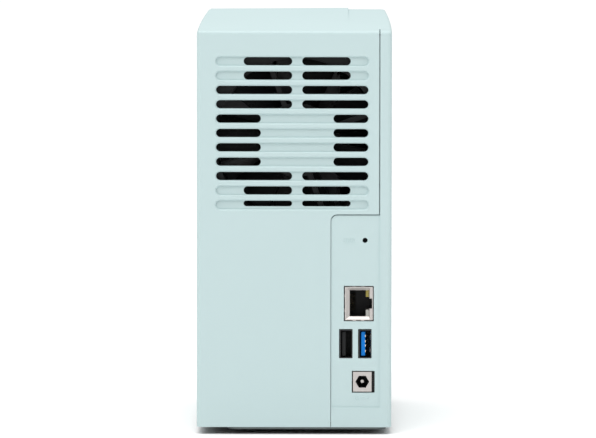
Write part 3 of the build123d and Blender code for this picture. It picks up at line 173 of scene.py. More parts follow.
# %% [markdown]
# ## Building finishes from nodes
#
# A finish is a small network of nodes that works out colour, roughness and relief at every
# point of a surface. Several finishes share the same effects, such as the grain of a mould or
# the wear on an edge, so each effect is built once, as a group with named sockets, and every
# material gives it its own values. All patterns are measured on Object coordinates, in
# metres, so a grain of 0.4 mm stays 0.4 mm on every piece.

# %% Small helpers for node trees
def put(tree, kind, inputs=None, **settings):
    """Adds one node, sets its options, then links or sets each named input."""
    made = tree.nodes.new(kind)
    for key, value in settings.items():
        setattr(made, key, value)
    for key, value in (inputs or {}).items():
        if isinstance(value, bpy.types.NodeSocket):
            tree.links.new(value, made.inputs[key])
        else:
            made.inputs[key].default_value = value
    return made


def math(tree, operation, a, b=0.0):
    """One arithmetic step; its result is returned as a socket."""
    return put(tree, "ShaderNodeMath", {0: a, 1: b}, operation=operation).outputs[0]


def remap(tree, value, low, high, to_low=0.0, to_high=1.0):
    """Straight-line change of range, held between the new ends."""
    made = put(tree, "ShaderNodeMapRange", {"Value": value, "From Min": low, "From Max": high,
                                            "To Min": to_low, "To Max": to_high})
    return made.outputs["Result"]


def blend_colour(tree, factor, a, b):
    """Between two colours: a where the factor is nought, b where it is one."""
    made = put(tree, "ShaderNodeMix", {0: factor, 6: a, 7: b}, data_type="RGBA")
    return made.outputs[2]


def place_of(tree, stretch=(1.0, 1.0, 1.0)):
    """Object coordinates in metres, each axis multiplied by its stretch."""
    where = put(tree, "ShaderNodeTexCoord").outputs["Object"]
    return put(tree, "ShaderNodeMapping", {"Vector": where, "Scale": stretch}).outputs["Vector"]


def noise(tree, where, scale, detail=2.0, rough=0.5):
    """Soft random field between nought and one."""
    made = put(tree, "ShaderNodeTexNoise", {"Vector": where, "Scale": scale, "Detail": detail,
                                            "Roughness": rough})
    return made.outputs["Fac"]


def start_group(name, takes, gives):
    """A node group with float inputs and named outputs; returns its tree and two end nodes."""
    tree = bpy.data.node_groups.new(name, "ShaderNodeTree")
    for label, value in takes:
        socket = tree.interface.new_socket(label, in_out="INPUT", socket_type="NodeSocketFloat")
        socket.default_value = value
    for label, kind in gives:
        tree.interface.new_socket(label, in_out="OUTPUT", socket_type=kind)
    return tree, tree.nodes.new("NodeGroupInput"), tree.nodes.new("NodeGroupOutput")


def use_group(tree, group, **values):
    """Places a group in a material with its own values."""
    made = tree.nodes.new("ShaderNodeGroup")
    made.node_tree = group
    for key, value in values.items():
        made.inputs[key].default_value = value
    return made


# %% [markdown]
# ### Grain of a moulded or coated surface
#
# A mould for a plastic case is etched by sparks, which leaves rounded pits a few tenths of a
# millimetre wide. Fine noise gives the random pits and a cell pattern gives their rounded
# floors; together they make the height that the Bump node turns into relief.

# %% Group: mould_grain
mould_grain, ends, out = start_group("mould_grain", [("Scale", 2200.0), ("Cells", 0.5)],
                                     [("Height", "NodeSocketFloat"), ("Tone", "NodeSocketFloat")])
where = place_of(mould_grain)
fine = noise(mould_grain, where, ends.outputs["Scale"], 3.0, 0.6)
pits = put(mould_grain, "ShaderNodeTexVoronoi", {"Vector": where, "Scale": ends.outputs["Scale"]},
           feature="SMOOTH_F1").outputs["Distance"]
height = math(mould_grain, "ADD", fine, math(mould_grain, "MULTIPLY", pits, ends.outputs["Cells"]))
mould_grain.links.new(height, out.inputs["Height"])
mould_grain.links.new(remap(mould_grain, height, 0.3, 1.0), out.inputs["Tone"])
print("group", mould_grain.name)

# %% [markdown]
# ### Wear along edges
#
# Edges are touched and rubbed, so they turn a little smoother and paler. A Bevel node gives
# the normal that a rounded edge would have; where it differs from the true normal, there is
# an edge. Noise breaks the band up, because real wear is never even.

# %% Group: edge_wear
edge_wear, ends, out = start_group("edge_wear", [("Radius", 0.0006), ("Amount", 0.5)],
                                   [("Mask", "NodeSocketFloat")])
rounded = put(edge_wear, "ShaderNodeBevel", {"Radius": ends.outputs["Radius"]}, samples=4)
true_normal = put(edge_wear, "ShaderNodeNewGeometry").outputs["Normal"]
same = put(edge_wear, "ShaderNodeVectorMath", {0: rounded.outputs["Normal"], 1: true_normal},
           operation="DOT_PRODUCT").outputs["Value"]
band = remap(edge_wear, same, 0.995, 0.80)
patchy = remap(edge_wear, noise(edge_wear, place_of(edge_wear), 160.0, 4.0, 0.65), 0.35, 0.65)
mask = math(edge_wear, "MULTIPLY", band, patchy)
mask = math(edge_wear, "MULTIPLY", mask, ends.outputs["Amount"])
edge_wear.links.new(mask, out.inputs["Mask"])
print("group", edge_wear.name)

# %% [markdown]
# ### Dust, slow changes of tone and drawn lines
#
# Dust lies on faces that look up. A slow, cloudy change of tone keeps a large moulding from
# looking like one flat colour. Rolled sheet shows long thin lines in the direction in which it
# was drawn: noise that is squeezed across the sheet and stretched along it.

# %% Groups: light_dust, slow_tone and drawn_lines
light_dust, ends, out = start_group("light_dust", [("Amount", 0.3)], [("Mask", "NodeSocketFloat")])
upward = put(light_dust, "ShaderNodeSeparateXYZ",
             {0: put(light_dust, "ShaderNodeNewGeometry").outputs["Normal"]}).outputs["Z"]
specks = remap(light_dust, noise(light_dust, place_of(light_dust), 900.0, 5.0, 0.7), 0.52, 0.75)
clouds = noise(light_dust, place_of(light_dust), 25.0, 2.0, 0.5)
clouds = remap(light_dust, clouds, 0.3, 0.8, 0.2, 1.0)
film = math(light_dust, "MULTIPLY", math(light_dust, "MULTIPLY", specks, clouds),
            remap(light_dust, upward, 0.3, 1.0))
light_dust.links.new(math(light_dust, "MULTIPLY", film, ends.outputs["Amount"]), out.inputs["Mask"])

slow_tone, ends, out = start_group("slow_tone", [("Scale", 18.0)], [("Mask", "NodeSocketFloat")])
cloud = noise(slow_tone, place_of(slow_tone), ends.outputs["Scale"], 2.0, 0.45)
slow_tone.links.new(remap(slow_tone, cloud, 0.3, 0.7), out.inputs["Mask"])

drawn_lines, ends, out = start_group("drawn_lines", [("Scale", 900.0)],
                                     [("Height", "NodeSocketFloat"), ("Tone", "NodeSocketFloat")])
squeezed = place_of(drawn_lines, (1.0, 0.04, 1.0))
streaks = noise(drawn_lines, squeezed, ends.outputs["Scale"], 3.0, 0.6)
drawn_lines.links.new(streaks, out.inputs["Height"])
drawn_lines.links.new(remap(drawn_lines, streaks, 0.35, 0.65), out.inputs["Tone"])
print("groups", light_dust.name, slow_tone.name, drawn_lines.name)

# %% [markdown]
# ### One recipe for the plain finishes
#
# Most pieces here are a moulded plastic, a coated sheet or a plated metal. The recipe below
# mixes the shared effects over one base colour. Constants, such as how metallic a finish is,
# sit on the shader's own sockets.

# %% The recipe
DUST_COLOUR = (0.55, 0.53, 0.5, 1.0)
DUST_ROUGHENS = 0.2
WEAR_SMOOTHS = 0.25        # share of the roughness that rubbing takes away
GLOSS_SPREAD = 0.12        # how far the grain moves the roughness, either way


def shade(colour, factor):
    """The colour multiplied by a factor, with its alpha kept at one."""
    return tuple(min(1.0, c * factor) for c in colour[:3]) + (1.0,)


def finish(name, colour, rough, metal=0.0, relief=(2200.0, 0.00003), spread=0.05, wear=0.3,
           wear_tint=1.12, dust=0.15, lines=False, clear=0.0, coat=0.0, shine=0.5):
    """Base colour, changed by slow tone, grain, edge wear and dust; relief from the grain."""
    material = bpy.data.materials.new(name)
    material.use_nodes = True
    tree = material.node_tree
    shader = tree.nodes["Principled BSDF"]
    shader.inputs["Metallic"].default_value = metal
    shader.inputs["Transmission Weight"].default_value = clear
    shader.inputs["Coat Weight"].default_value = coat
    shader.inputs["Specular IOR Level"].default_value = shine
    scale, depth = relief
    grain = use_group(tree, drawn_lines if lines else mould_grain, Scale=scale)
    slow = use_group(tree, slow_tone)
    both_ends = shade(colour, 1 - spread), shade(colour, 1 + spread)
    tone = blend_colour(tree, slow.outputs["Mask"], *both_ends)
    fine = blend_colour(tree, grain.outputs["Tone"], *both_ends)
    both = blend_colour(tree, 0.5, tone, fine)
    worn = use_group(tree, edge_wear, Amount=wear).outputs["Mask"]
    both = blend_colour(tree, worn, both, shade(colour, wear_tint))
    film = use_group(tree, light_dust, Amount=dust).outputs["Mask"]
    both = blend_colour(tree, film, both, DUST_COLOUR)
    tree.links.new(both, shader.inputs["Base Color"])
    gloss = remap(tree, grain.outputs["Tone"], 0.0, 1.0, rough * (1 - GLOSS_SPREAD),
                  min(1.0, rough * (1 + GLOSS_SPREAD)))
    gloss = math(tree, "SUBTRACT", gloss, math(tree, "MULTIPLY", worn, rough * WEAR_SMOOTHS))
    gloss = math(tree, "ADD", gloss, math(tree, "MULTIPLY", film, DUST_ROUGHENS))
    tree.links.new(gloss, shader.inputs["Roughness"])
    bump = put(tree, "ShaderNodeBump", {"Height": grain.outputs["Height"], "Distance": depth,
                                        "Strength": 0.6})
    tree.links.new(bump.outputs["Normal"], shader.inputs["Normal"])
    return material


AQUA = (0.449, 0.572, 0.578)
PAINTED_SHADE_SHEATHS = ("usb2_shell", "usb3_shell", "front_usb_shell")    # near-black steel here is painted shade for the inside of the ports
finishes = {
    "shell": finish("aqua_case_plastic", AQUA, 0.55, spread=0.012, wear=0.35, wear_tint=1.1,
                    dust=0.05),
    "button": finish("aqua_button_plastic", AQUA, 0.42, relief=(3000.0, 0.00001), spread=0.02,
                     wear=0.5, dust=0.05),
    "base": finish("dark_base_plastic", (0.105, 0.125, 0.125), 0.6, dust=0.1),
    "rubber": finish("foot_rubber", (0.03, 0.03, 0.032), 0.85, relief=(1600.0, 0.00005), wear=0.5,
                     wear_tint=2.0, dust=0.3),
    "cage": finish("cage_powder_coat", (0.030, 0.032, 0.035), 0.5, relief=(1300.0, 0.00005),
                   wear=0.6, wear_tint=3.0, dust=0.35),
    "tray": finish("tray_plastic", (0.045, 0.047, 0.05), 0.45, wear=0.5, wear_tint=1.8),
    "fan": finish("fan_plastic", (0.007, 0.0075, 0.008), 0.6, wear=0.4, wear_tint=1.8, dust=0.2,
                  shine=0.25),
    "screw": finish("zinc_plate", (0.60, 0.60, 0.61), 0.32, 1.0, (1500.0, 0.00001), 0.08, 0.5),
    "black_screw": finish("black_oxide", (0.06, 0.06, 0.065), 0.38, 0.9, (1500.0, 0.00001), 0.1,
                          0.7, 4.0),
    "shaft": finish("ground_steel", (0.66, 0.66, 0.68), 0.2, 1.0, (2500.0, 0.000004), lines=True),
    "bearing": finish("sintered_bronze", (0.55, 0.36, 0.19), 0.45, 1.0, (2600.0, 0.00004), 0.2),
    "chip": finish("chip_epoxy", (0.022, 0.022, 0.024), 0.55, relief=(4000.0, 0.00001)),
    "nickel": finish("nickel_sheet", (0.57, 0.545, 0.525), 0.42, 1.0, (1100.0, 0.000006), 0.05,
                     0.5, 1.15, lines=True),
    # Real gold plate, made paler than gold so that the contacts read white: partly a painted
    # highlight.
    "gold": finish("gold_plate_painted_highlight", (0.90, 0.76, 0.52), 0.25, 1.0, (2000.0, 0.000003), 0.08),
    "connector_black": finish("black_nylon", (0.008, 0.0085, 0.009), 0.5, spread=0.15, wear=0.5,
                              wear_tint=2.0, shine=0.25),
    "connector_white": finish("white_nylon", (0.74, 0.73, 0.67), 0.45, spread=0.04),
    "tongue_blue": finish("blue_nylon", (0.001, 0.175, 0.60), 0.45, spread=0.05, shine=0.2),
    # This finish is near black: painted shade that darkens the port sheaths and their inner walls.
    "sheath": finish("sheath_steel", (0.055, 0.055, 0.057), 0.3, 1.0, (1500.0, 0.000005), 0.08,
                     0.5, 1.3, lines=True),
    "lens_amber": finish("amber_lens", (0.30, 0.24, 0.02), 0.2, relief=(900.0, 0.000005),
                         clear=0.2, coat=0.4),
    "lens_clear": finish("clear_lens", (0.45, 0.45, 0.42), 0.2, relief=(900.0, 0.000005),
                         clear=0.3, coat=0.4),
    "guide": finish("milky_guide", (0.80, 0.86, 0.84), 0.25, relief=(900.0, 0.000005), clear=0.4),
    "sink": finish("sink_aluminium", (0.60, 0.62, 0.64), 0.35, 1.0, (1400.0, 0.00001), 0.08,
                   lines=True),
    "cell": finish("cell_steel", (0.70, 0.70, 0.70), 0.25, 1.0, (1800.0, 0.000005), 0.06,
                   lines=True),
    "lead": finish("lead_sleeve", (0.015, 0.015, 0.016), 0.6, relief=(2600.0, 0.00008), wear=0.2),
}
print("plain finishes", len(finishes))

# %% [markdown]
# ### Circuit boards
#
# A board's green is a lacquer over copper. Where copper runs, the lacquer looks paler; tracks
# run in straight lines and turn at right angles, and small tinned rings join the layers. A
# cell pattern measured corner to corner gives straight tracks, and a second one gives rings.

# %% Board lacquer, and a printed sleeve for the capacitors
def board_finish(name, flat_axis):
    """Green lacquer with tracks and joined rings, drawn across the axis the board faces."""
    material = finish(name, (0.012, 0.115, 0.055), 0.32, relief=(1200.0, 0.00001), wear=0.1,
                      coat=0.3)
    tree = material.node_tree
    shader = tree.nodes["Principled BSDF"]
    lacquer = shader.inputs["Base Color"].links[0].from_socket
    where = place_of(tree, tuple(0.0 if axis == flat_axis else 1.0 for axis in "XYZ"))
    cells = put(tree, "ShaderNodeTexVoronoi", {"Vector": where, "Scale": 260.0},
                distance="CHEBYCHEV", feature="F2").outputs["Distance"]
    lanes = math(tree, "PINGPONG", cells, 0.08)
    tracks = remap(tree, lanes, 0.045, 0.05)
    rings = put(tree, "ShaderNodeTexVoronoi", {"Vector": where, "Scale": 190.0}).outputs["Distance"]
    tinned = remap(tree, math(tree, "ABSOLUTE", math(tree, "SUBTRACT", rings, 0.09)), 0.04, 0.03)
    copper = blend_colour(tree, tracks, lacquer, (0.028, 0.20, 0.10, 1.0))
    tree.links.new(blend_colour(tree, tinned, copper, (0.55, 0.55, 0.50, 1.0)),
                   shader.inputs["Base Color"])
    relief = put(tree, "ShaderNodeBump", {"Height": tracks, "Distance": 0.00003, "Strength": 0.5})
    tree.links.new(relief.outputs["Normal"], shader.inputs["Normal"])
    return material


finishes["board"] = board_finish("board_lacquer_upright", "X")
flat_board = board_finish("board_lacquer_flat", "Z")

finishes["can"] = finish("capacitor_can", (0.62, 0.63, 0.65), 0.3, 1.0, (1800.0, 0.000005))
tree = finishes["can"].node_tree
shader = tree.nodes["Principled BSDF"]
bare = shader.inputs["Base Color"].links[0].from_socket
height = put(tree, "ShaderNodeSeparateXYZ", {0: place_of(tree)}).outputs["Y"]
mark = remap(tree, math(tree, "PINGPONG", height, 0.0055), 0.0018, 0.0016)
tree.links.new(blend_colour(tree, mark, bare, (0.02, 0.02, 0.05, 1.0)), shader.inputs["Base Color"])
print("finishes in all", len(finishes) + 1)

# %% Give every CAD node its finish
slot_of = {part["node"]: part["material_slot"] for part in frame["record"]["subparts"]}
for name, thing in nodes.items():
    chosen = flat_board if name == "backplane_board" else finishes[slot_of[name]]
    # The sheaths take the near-black finish, painted shade for the inside of each port.
    if name in PAINTED_SHADE_SHEATHS:
        chosen = finishes["sheath"]
    for place in thing.material_slots:
        place.material = chosen
print("nodes with a finish", len(nodes))

# %% [markdown]
# ## Shapes worked out with arrays
#
# The small parts come from three kinds of shape. A sweep carries an outline along a path:
# springs, wires, pressed ribs and printed strokes. A set of blocks puts many small boxes at
# once, for chips and contacts, and a Bevel modifier takes off their sharp edges. A lathe turns
# a profile round an axis. Each one is a whole array of points, so no loop visits a vertex.

# %% Sweeps, blocks and lathes
def unit(vectors):
    """Each vector divided by its length."""
    return vectors / np.linalg.norm(vectors, axis=-1, keepdims=True)


def rectangle(wide, thick):
    """A rectangle's outline, anticlockwise, with a fifth of its short side cut off each corner."""
    x, y, c = wide / 2, thick / 2, min(wide, thick) * 0.2
    return np.array([(x, -y + c), (x, y - c), (x - c, y), (-x + c, y), (-x, y - c), (-x, -y + c),
                     (-x + c, -y), (x - c, -y)])


def ring_of(radius, steps=12):
    """A circle's points: radius times cosine and sine of equal angles."""
    angle = np.linspace(0, 2 * np.pi, steps, endpoint=False)
    return np.stack([np.cos(angle), np.sin(angle)], -1) * radius


def sweep(path, outline, up, closed=False):
    """Outline carried along a path. Side = direction x up, rise = side x direction, and each
    point is path + side * u + rise * v; at a corner the side grows by one over the cosine."""
    path = np.asarray(path, float)
    steps = np.roll(path, -1, 0) - path
    if not closed:
        steps[-1] = steps[-2]
    ahead = unit(steps)
    behind = np.roll(ahead, 1, 0)
    if not closed:
        behind[0] = ahead[0]
    along = unit(ahead + behind)
    side = unit(np.cross(along, np.asarray(up, float)))
    square = unit(np.cross(ahead, np.asarray(up, float)))
    stretch = 1.0 / np.clip((side * square).sum(-1), 0.4, 1.0)
    rise = np.cross(side, along)
    points = (path[:, None] + (side * stretch[:, None])[:, None] * outline[None, :, :1]
              + rise[:, None] * outline[None, :, 1:])
    rows, columns = points.shape[:2]
    index = np.arange(rows * columns).reshape(rows, columns)
    ring = np.concatenate([index, index[:1]], 0) if closed else index
    ring = np.concatenate([ring, ring[:, :1]], 1)
    quads = np.stack([ring[:-1, :-1], ring[1:, :-1], ring[1:, 1:], ring[:-1, 1:]], -1)
    faces = quads.reshape(-1, 4).tolist()
    if not closed:
        faces += [index[0].tolist(), index[-1][::-1].tolist()]
    return points.reshape(-1, 3), faces


def blocks(centres, sizes):
    """Many boxes at once: each centre plus or minus half of its size."""
    centres = np.atleast_2d(np.asarray(centres, float))
    sizes = np.broadcast_to(np.asarray(sizes, float), centres.shape)
    corner = np.array([(x, y, z) for x in (-1, 1) for y in (-1, 1) for z in (-1, 1)]) / 2
    points = centres[:, None] + corner[None] * sizes[:, None]
    sides = np.array([(0, 1, 3, 2), (4, 6, 7, 5), (0, 4, 5, 1), (2, 3, 7, 6), (0, 2, 6, 4),
                      (1, 5, 7, 3)])
    faces = sides[None] + 8 * np.arange(len(centres))[:, None, None]
    return points.reshape(-1, 3), faces.reshape(-1, 4).tolist()


def lathe(centre, axis, profile, steps=32):
    """A profile of (radius, distance along the axis) turned round it; it starts and ends on
    the axis or closes on itself."""
    profile = np.asarray(profile, float)
    turn = ring_of(1.0, steps)
    flat = [i for i in range(3) if i != "XYZ".index(axis)]
    points = np.zeros((steps, len(profile), 3))
    points[..., flat[0]] = turn[:, None, 0] * profile[None, :, 0]
    points[..., flat[1]] = turn[:, None, 1] * profile[None, :, 0]
    points[..., "XYZ".index(axis)] = profile[None, :, 1]
    index = np.arange(steps * len(profile)).reshape(steps, -1)
    ring = np.concatenate([index, index[:1]], 0)
    quads = np.stack([ring[:-1, :-1], ring[1:, :-1], ring[1:, 1:], ring[:-1, 1:]], -1)
    return points.reshape(-1, 3) + np.asarray(centre, float), quads.reshape(-1, 4).tolist()


SHARP_ANGLE = 35.0         # degrees: a crease sharper than this stays sharp


def make_piece(name, parts, slot, body, bevel=0.0):
    """Joins the parts in one mesh, merges doubles, points its faces outwards, smooths it,
    and says which body it rides on and which finish it takes."""
    points, faces, start = [], [], 0
    for some_points, some_faces in parts:
        points.append(some_points)
        faces += [[i + start for i in face] for face in some_faces]
        start += len(some_points)
    mesh = bpy.data.meshes.new(name)
    mesh.from_pydata(np.concatenate(points).tolist(), [], faces)
    work = bmesh.new()
    work.from_mesh(mesh)
    bmesh.ops.remove_doubles(work, verts=work.verts, dist=1e-7)
    bmesh.ops.recalc_face_normals(work, faces=work.faces)
    work.to_mesh(mesh)
    work.free()
    mesh.shade_smooth()
    mesh.set_sharp_from_angle(angle=radians(SHARP_ANGLE))
    piece = add_object(name, mesh, finishes[slot])
    if bevel:
        rounding = piece.modifiers.new("rounding", "BEVEL")
        rounding.width = bevel
        rounding.segments = 2
    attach(piece, body)
    print(name, "faces", len(mesh.polygons))
    return piece


def edges_of(node):
    """A CAD node's box as (x0, x1, y0, y1, z0, z1)."""
    low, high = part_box(node)
    return low[0], high[0], low[1], high[1], low[2], high[2]

# %% [markdown]
# ## Network socket
#
# The can of a network socket is folded from thin plated sheet, and CAD holds it with its
# insert, its contacts and its two lenses. Small sprung fingers are cut from the can's walls
# and bowed outwards, so that they press on the case. Six of them are added here.

# %% Sprung fingers round the can
CAN_STAND = 0.8 * MM       # the can itself starts beyond its two feet
x0, x1, y0, y1, z0, z1 = edges_of("lan_shell")
x0 += CAN_STAND
finger = rectangle(1.5 * MM, 0.15 * MM)
bow = np.array([(0.0, -4.0), (0.12, -3.0), (0.33, -1.6), (0.40, -0.9), (0.30, -0.35),
                (0.12, -0.05)])
parts = []
for share in (0.36, 0.66):
    x = x0 + (x1 - x0) * share
    for edge, way in ((z1, 1), (z0, -1)):
        path = np.stack([np.full(6, x), y1 + bow[:, 1] * MM, edge + way * bow[:, 0] * MM], -1)
        parts.append(sweep(path, finger, (0, 0, 1)))
for share in (0.30, 0.74):
    z = z0 + (z1 - z0) * share
    path = np.stack([x1 + bow[:, 0] * MM, y1 + bow[:, 1] * MM, np.full(6, z)], -1)
    parts.append(sweep(path, finger[:, ::-1], (0, 0, 1)))
make_piece("lan_fingers", parts, "nickel", "chassis")

# %% [markdown]
# ## Universal ports
#
# Each port is a steel sheath. The newer kind has a blue tongue, the older one a black tongue.
# The two newer ports, one behind and one in front, get a black liner behind the tongue, which
# is painted shade for the dark depth of the port, since the real insulator there is blue; two
# leaf springs that hold the plug; and the ends of four contacts, which show as bright points
# where they leave the liner. The older port stays as CAD made it.

# %% Port liners as painted shade, leaf springs and contact ends
def port_details(prefix, shell, contacts, way):
    """A black liner in front of the root, painted shade for the port's dark depth; two leaf springs
    and four contact ends.
    """
    x0, x1, y0, y1, z0, z1 = edges_of(shell)
    skin = 0.3 * MM
    mouth, back = (y1, y0) if way > 0 else (y0, y1)
    deep = back + way * 3.1 * MM
    c0, c1 = edges_of(contacts)[:2]
    # The liner is painted shade: a black plate that hides the blue root deep in the port.
    parts = [blocks([((x0 + skin + c0) / 2, deep, (z0 + z1) / 2)],
                    (c0 - x0 - 2 * skin, 0.2 * MM, z1 - z0 - 2.2 * skin))]
    make_piece(prefix + "_painted_shade_liner", parts, "connector_black", "chassis", 0.03 * MM)
    leaf = np.array([(0.02, 8.0), (0.3, 6.0), (0.55, 4.2), (0.5, 3.2), (0.2, 2.0), (0.02, 1.0)])
    parts = []
    for z in (z0 + (z1 - z0) * 0.27, z0 + (z1 - z0) * 0.73):
        path = np.stack([x0 + skin + leaf[:, 0] * MM, mouth - way * leaf[:, 1] * MM,
                         np.full(6, z)], -1)
        parts.append(sweep(path, rectangle(0.12 * MM, 2.2 * MM), (0, 0, 1)))
    make_piece(prefix + "_springs", parts, "nickel", "chassis")
    parts = []
    for z in np.array((-3.5, -1.0, 1.0, 3.5)) * MM + (z0 + z1) / 2:
        hook = [(c0 - off * MM, deep + way * out * MM, z)
                for off, out in ((0.05, 7.0), (0.35, 4.0), (0.75, 1.2), (0.75, 0.1))]
        parts.append(sweep(hook, rectangle(0.16 * MM, 0.7 * MM), (0, 0, 1)))
    make_piece(prefix + "_contact_ends", parts, "nickel", "chassis")


port_details("usb3", "usb3_shell", "usb3_contacts", 1)
port_details("front_usb", "front_usb_shell", "front_usb_contacts", -1)

# %% [markdown]
# ## Power inlet
#
# Inside the inlet's six-sided hole, six flat springs grip the plug's sleeve. The pin in the
# middle has a turned collar at its foot.

# %% Spring cage and pin collar
x0, x1, y0, y1, z0, z1 = edges_of("dc_pin")
pin_x, pin_z = (x0 + x1) / 2, (z0 + z1) / 2
face_y = edges_of("dc_face")[3]
parts = []
for angle in np.radians(np.arange(6) * 60.0 + 30.0):
    out_x, out_z = np.cos(angle), np.sin(angle)
    path = [(pin_x + out_x * r * MM, face_y - back * MM, pin_z + out_z * r * MM)
            for r, back in ((2.66, 1.0), (2.45, 2.2), (2.5, 4.0), (2.6, 9.5))]
    parts.append(sweep(path, rectangle(2.2 * MM, 0.12 * MM), (out_x, 0, out_z)))
make_piece("dc_spring_cage", parts, "black_screw", "chassis")
collar = np.array([(0.96, 0.2), (1.5, 0.2), (1.7, 0.5), (1.7, 1.0), (0.96, 1.0), (0.96, 0.2)]) * MM
make_piece("dc_pin_collar", [lathe((pin_x, y0, pin_z), "Y", collar)], "connector_black", "chassis")

# %% [markdown]
# ## Marks on the case
#
# Small raised marks are moulded beside the reset hole and under the inlet. Here they are
# plain shapes: six short bars by the hole, and a ring, a bar and a smaller ring under the
# inlet.
# On the front, thin printed symbols name the buttons and the lights: a broken ring with a
# stroke for power, two sheets for copying, and simple shapes beside the five lights.

# %% Raised marks on the rear panel
panel_y = edges_of("side_shell")[3] - 0.5 * MM
stroke = rectangle(0.42 * MM, 0.36 * MM)


def mark_on(y, x, z, points, closed=False, outline=stroke):
    """A raised stroke through (x, z) points in mm round a centre, lying on a face along Y."""
    points = np.asarray(points, float) * MM
    path = np.stack([x + points[:, 0], np.full(len(points), y), z + points[:, 1]], -1)
    return sweep(path, outline, (0, 1, 0), closed)


RESET_X, RESET_Z = -0.0328, 0.0903
marks_z = pin_z - 7.6 * MM
parts = [mark_on(panel_y, RESET_X + step * MM, RESET_Z, [(0, -0.9), (0, 0.9)])
         for step in (5.2, 6.1, 7.0, 7.9, 8.8, 9.7)]
parts.append(mark_on(panel_y, pin_x + 2.6 * MM, marks_z, ring_of(0.8, 20), True))
parts.append(mark_on(panel_y, pin_x, marks_z, [(-0.9, 0), (0.9, 0)]))
parts.append(mark_on(panel_y, pin_x - 2.4 * MM, marks_z, ring_of(0.4, 12), True))
make_piece("rear_marks", parts, "shell", "chassis")

# %% Printed symbols on the front column
def printed(y, x, z, points, closed=False):
    """A thin printed line that stands a few hundredths of a millimetre off the face."""
    return mark_on(y, x, z, points, closed, rectangle(0.34 * MM, 0.06 * MM))


def print_piece(name, strokes, slot, body):
    """Joins printed strokes, and gives them the grey print instead of their slot's finish."""
    piece = make_piece(name, strokes, slot, body)
    piece.material_slots[0].material = finishes["print"]


finishes["print"] = finish("grey_print", (0.10, 0.13, 0.135), 0.5, spread=0.04)
arc_angle = np.radians(np.linspace(125, 415, 30))
arc = np.stack([np.cos(arc_angle), np.sin(arc_angle)], -1) * 1.7
x0, x1, y0, y1, z0, z1 = edges_of("power_button")
button_x, power_z = (x0 + x1) / 2, (z0 + z1) / 2
print_piece("power_symbol", [printed(y0, button_x, power_z, arc),
                             printed(y0, button_x, power_z, [(0, 0.2), (0, 2.3)])],
            "button", "power_button")
x0, x1, y0, y1, z0, z1 = edges_of("copy_button")
copy_z = (z0 + z1) / 2
front_sheet = [(-1.1, -1.3), (0.4, -1.3), (0.4, 0.5), (-1.1, 0.5)]
rear_sheet = [(-0.3, 1.3), (1.1, 1.3), (1.1, -0.5), (0.75, -0.5)]
print_piece("copy_symbol", [printed(y0, button_x, copy_z, front_sheet, True),
                            printed(y0, button_x, copy_z, rear_sheet)], "button", "copy_button")

LENS_PITCH = 8.0
x0, x1, y0, y1, z0, z1 = edges_of("status_lenses")
column_y = y0 + 0.15 * MM
lens_x = (x0 + x1) / 2
lens_z = [z0 + (1.2 + LENS_PITCH * step) * MM for step in range(5)]
square = ((-1, -1), (1, -1), (1, 1), (-1, 1), (-1, -1))
symbols = [[((-1.2, 0), (1.2, 0))], [square], [square, ((-1, 0), (1, 0))],
           [((-1.2, -0.8), (0, 0.8), (1.2, -0.8))], [((0, -1.2), (0, 1.2)), ((-1.2, 0), (1.2, 0))]]
strokes = [printed(column_y, lens_x + 5.0 * MM, z, line)
           for z, lines in zip(lens_z, symbols) for line in lines]
print_piece("light_symbols", strokes, "shell", "chassis")

# %% [markdown]
# ## Inside: the boards
#
# A bare board looks empty without its small parts. Chips stand on rows of bent tinned legs.
# Round them lie many tiny resistors and capacitors with tinned ends, and beside the network
# socket stands its transformer. The small ones are blocks on a regular grid: two steps in
# five are used, each is moved a little, and those that would meet a larger part are left out.

# %% Chip legs, small passives, transformer, crystal and coil
board_x = edges_of("main_board")[1]


def legs_of(chips, pitch, out):
    """Rows of small legs along two upright sides of each chip, each leg a bent strip."""
    parts = []
    bend = np.array([(0.0, 0.5), (0.35, 0.5), (0.55, 0.04), (1.0, 0.04)])
    for y, z, wide, tall in chips:
        count = int(tall / pitch) - 1
        for row in np.linspace(-(count - 1) / 2, (count - 1) / 2, count) * pitch:
            for way in (-1, 1):
                path = np.stack([board_x + bend[:, 1] * MM,
                                 (y + way * (wide / 2 + bend[:, 0] * out)) * MM,
                                 np.full(4, (z + row) * MM)], -1)
                parts.append(sweep(path, rectangle(pitch * 0.45 * MM, 0.12 * MM)[::-1], (1, 0, 0)))
    return parts


# Each chip: its middle across and up the board, its width and its height, in millimetres.
chips = [(-34.0, 96.0, 9.0, 9.0), (34.0, 56.0, 8.0, 8.0), (-36.0, 72.0, 6.0, 5.0),
         (-9.0, 96.0, 14.0, 9.0), (17.0, 96.0, 14.0, 9.0)]
make_piece("chip_legs", legs_of(chips, 0.8, 1.2), "screw", "chassis")

grid_y, grid_z = np.meshgrid(np.arange(-60, 48, 4.0), np.arange(18, 146, 5.0))
spots = np.stack([grid_y.ravel(), grid_z.ravel()], -1)
order = np.arange(len(spots))
used = (order * 7) % 5 < 2
moved = np.stack([np.sin(order * 1.7), np.cos(order * 2.3)], -1)
spots = spots[used] + moved[used] * 0.6
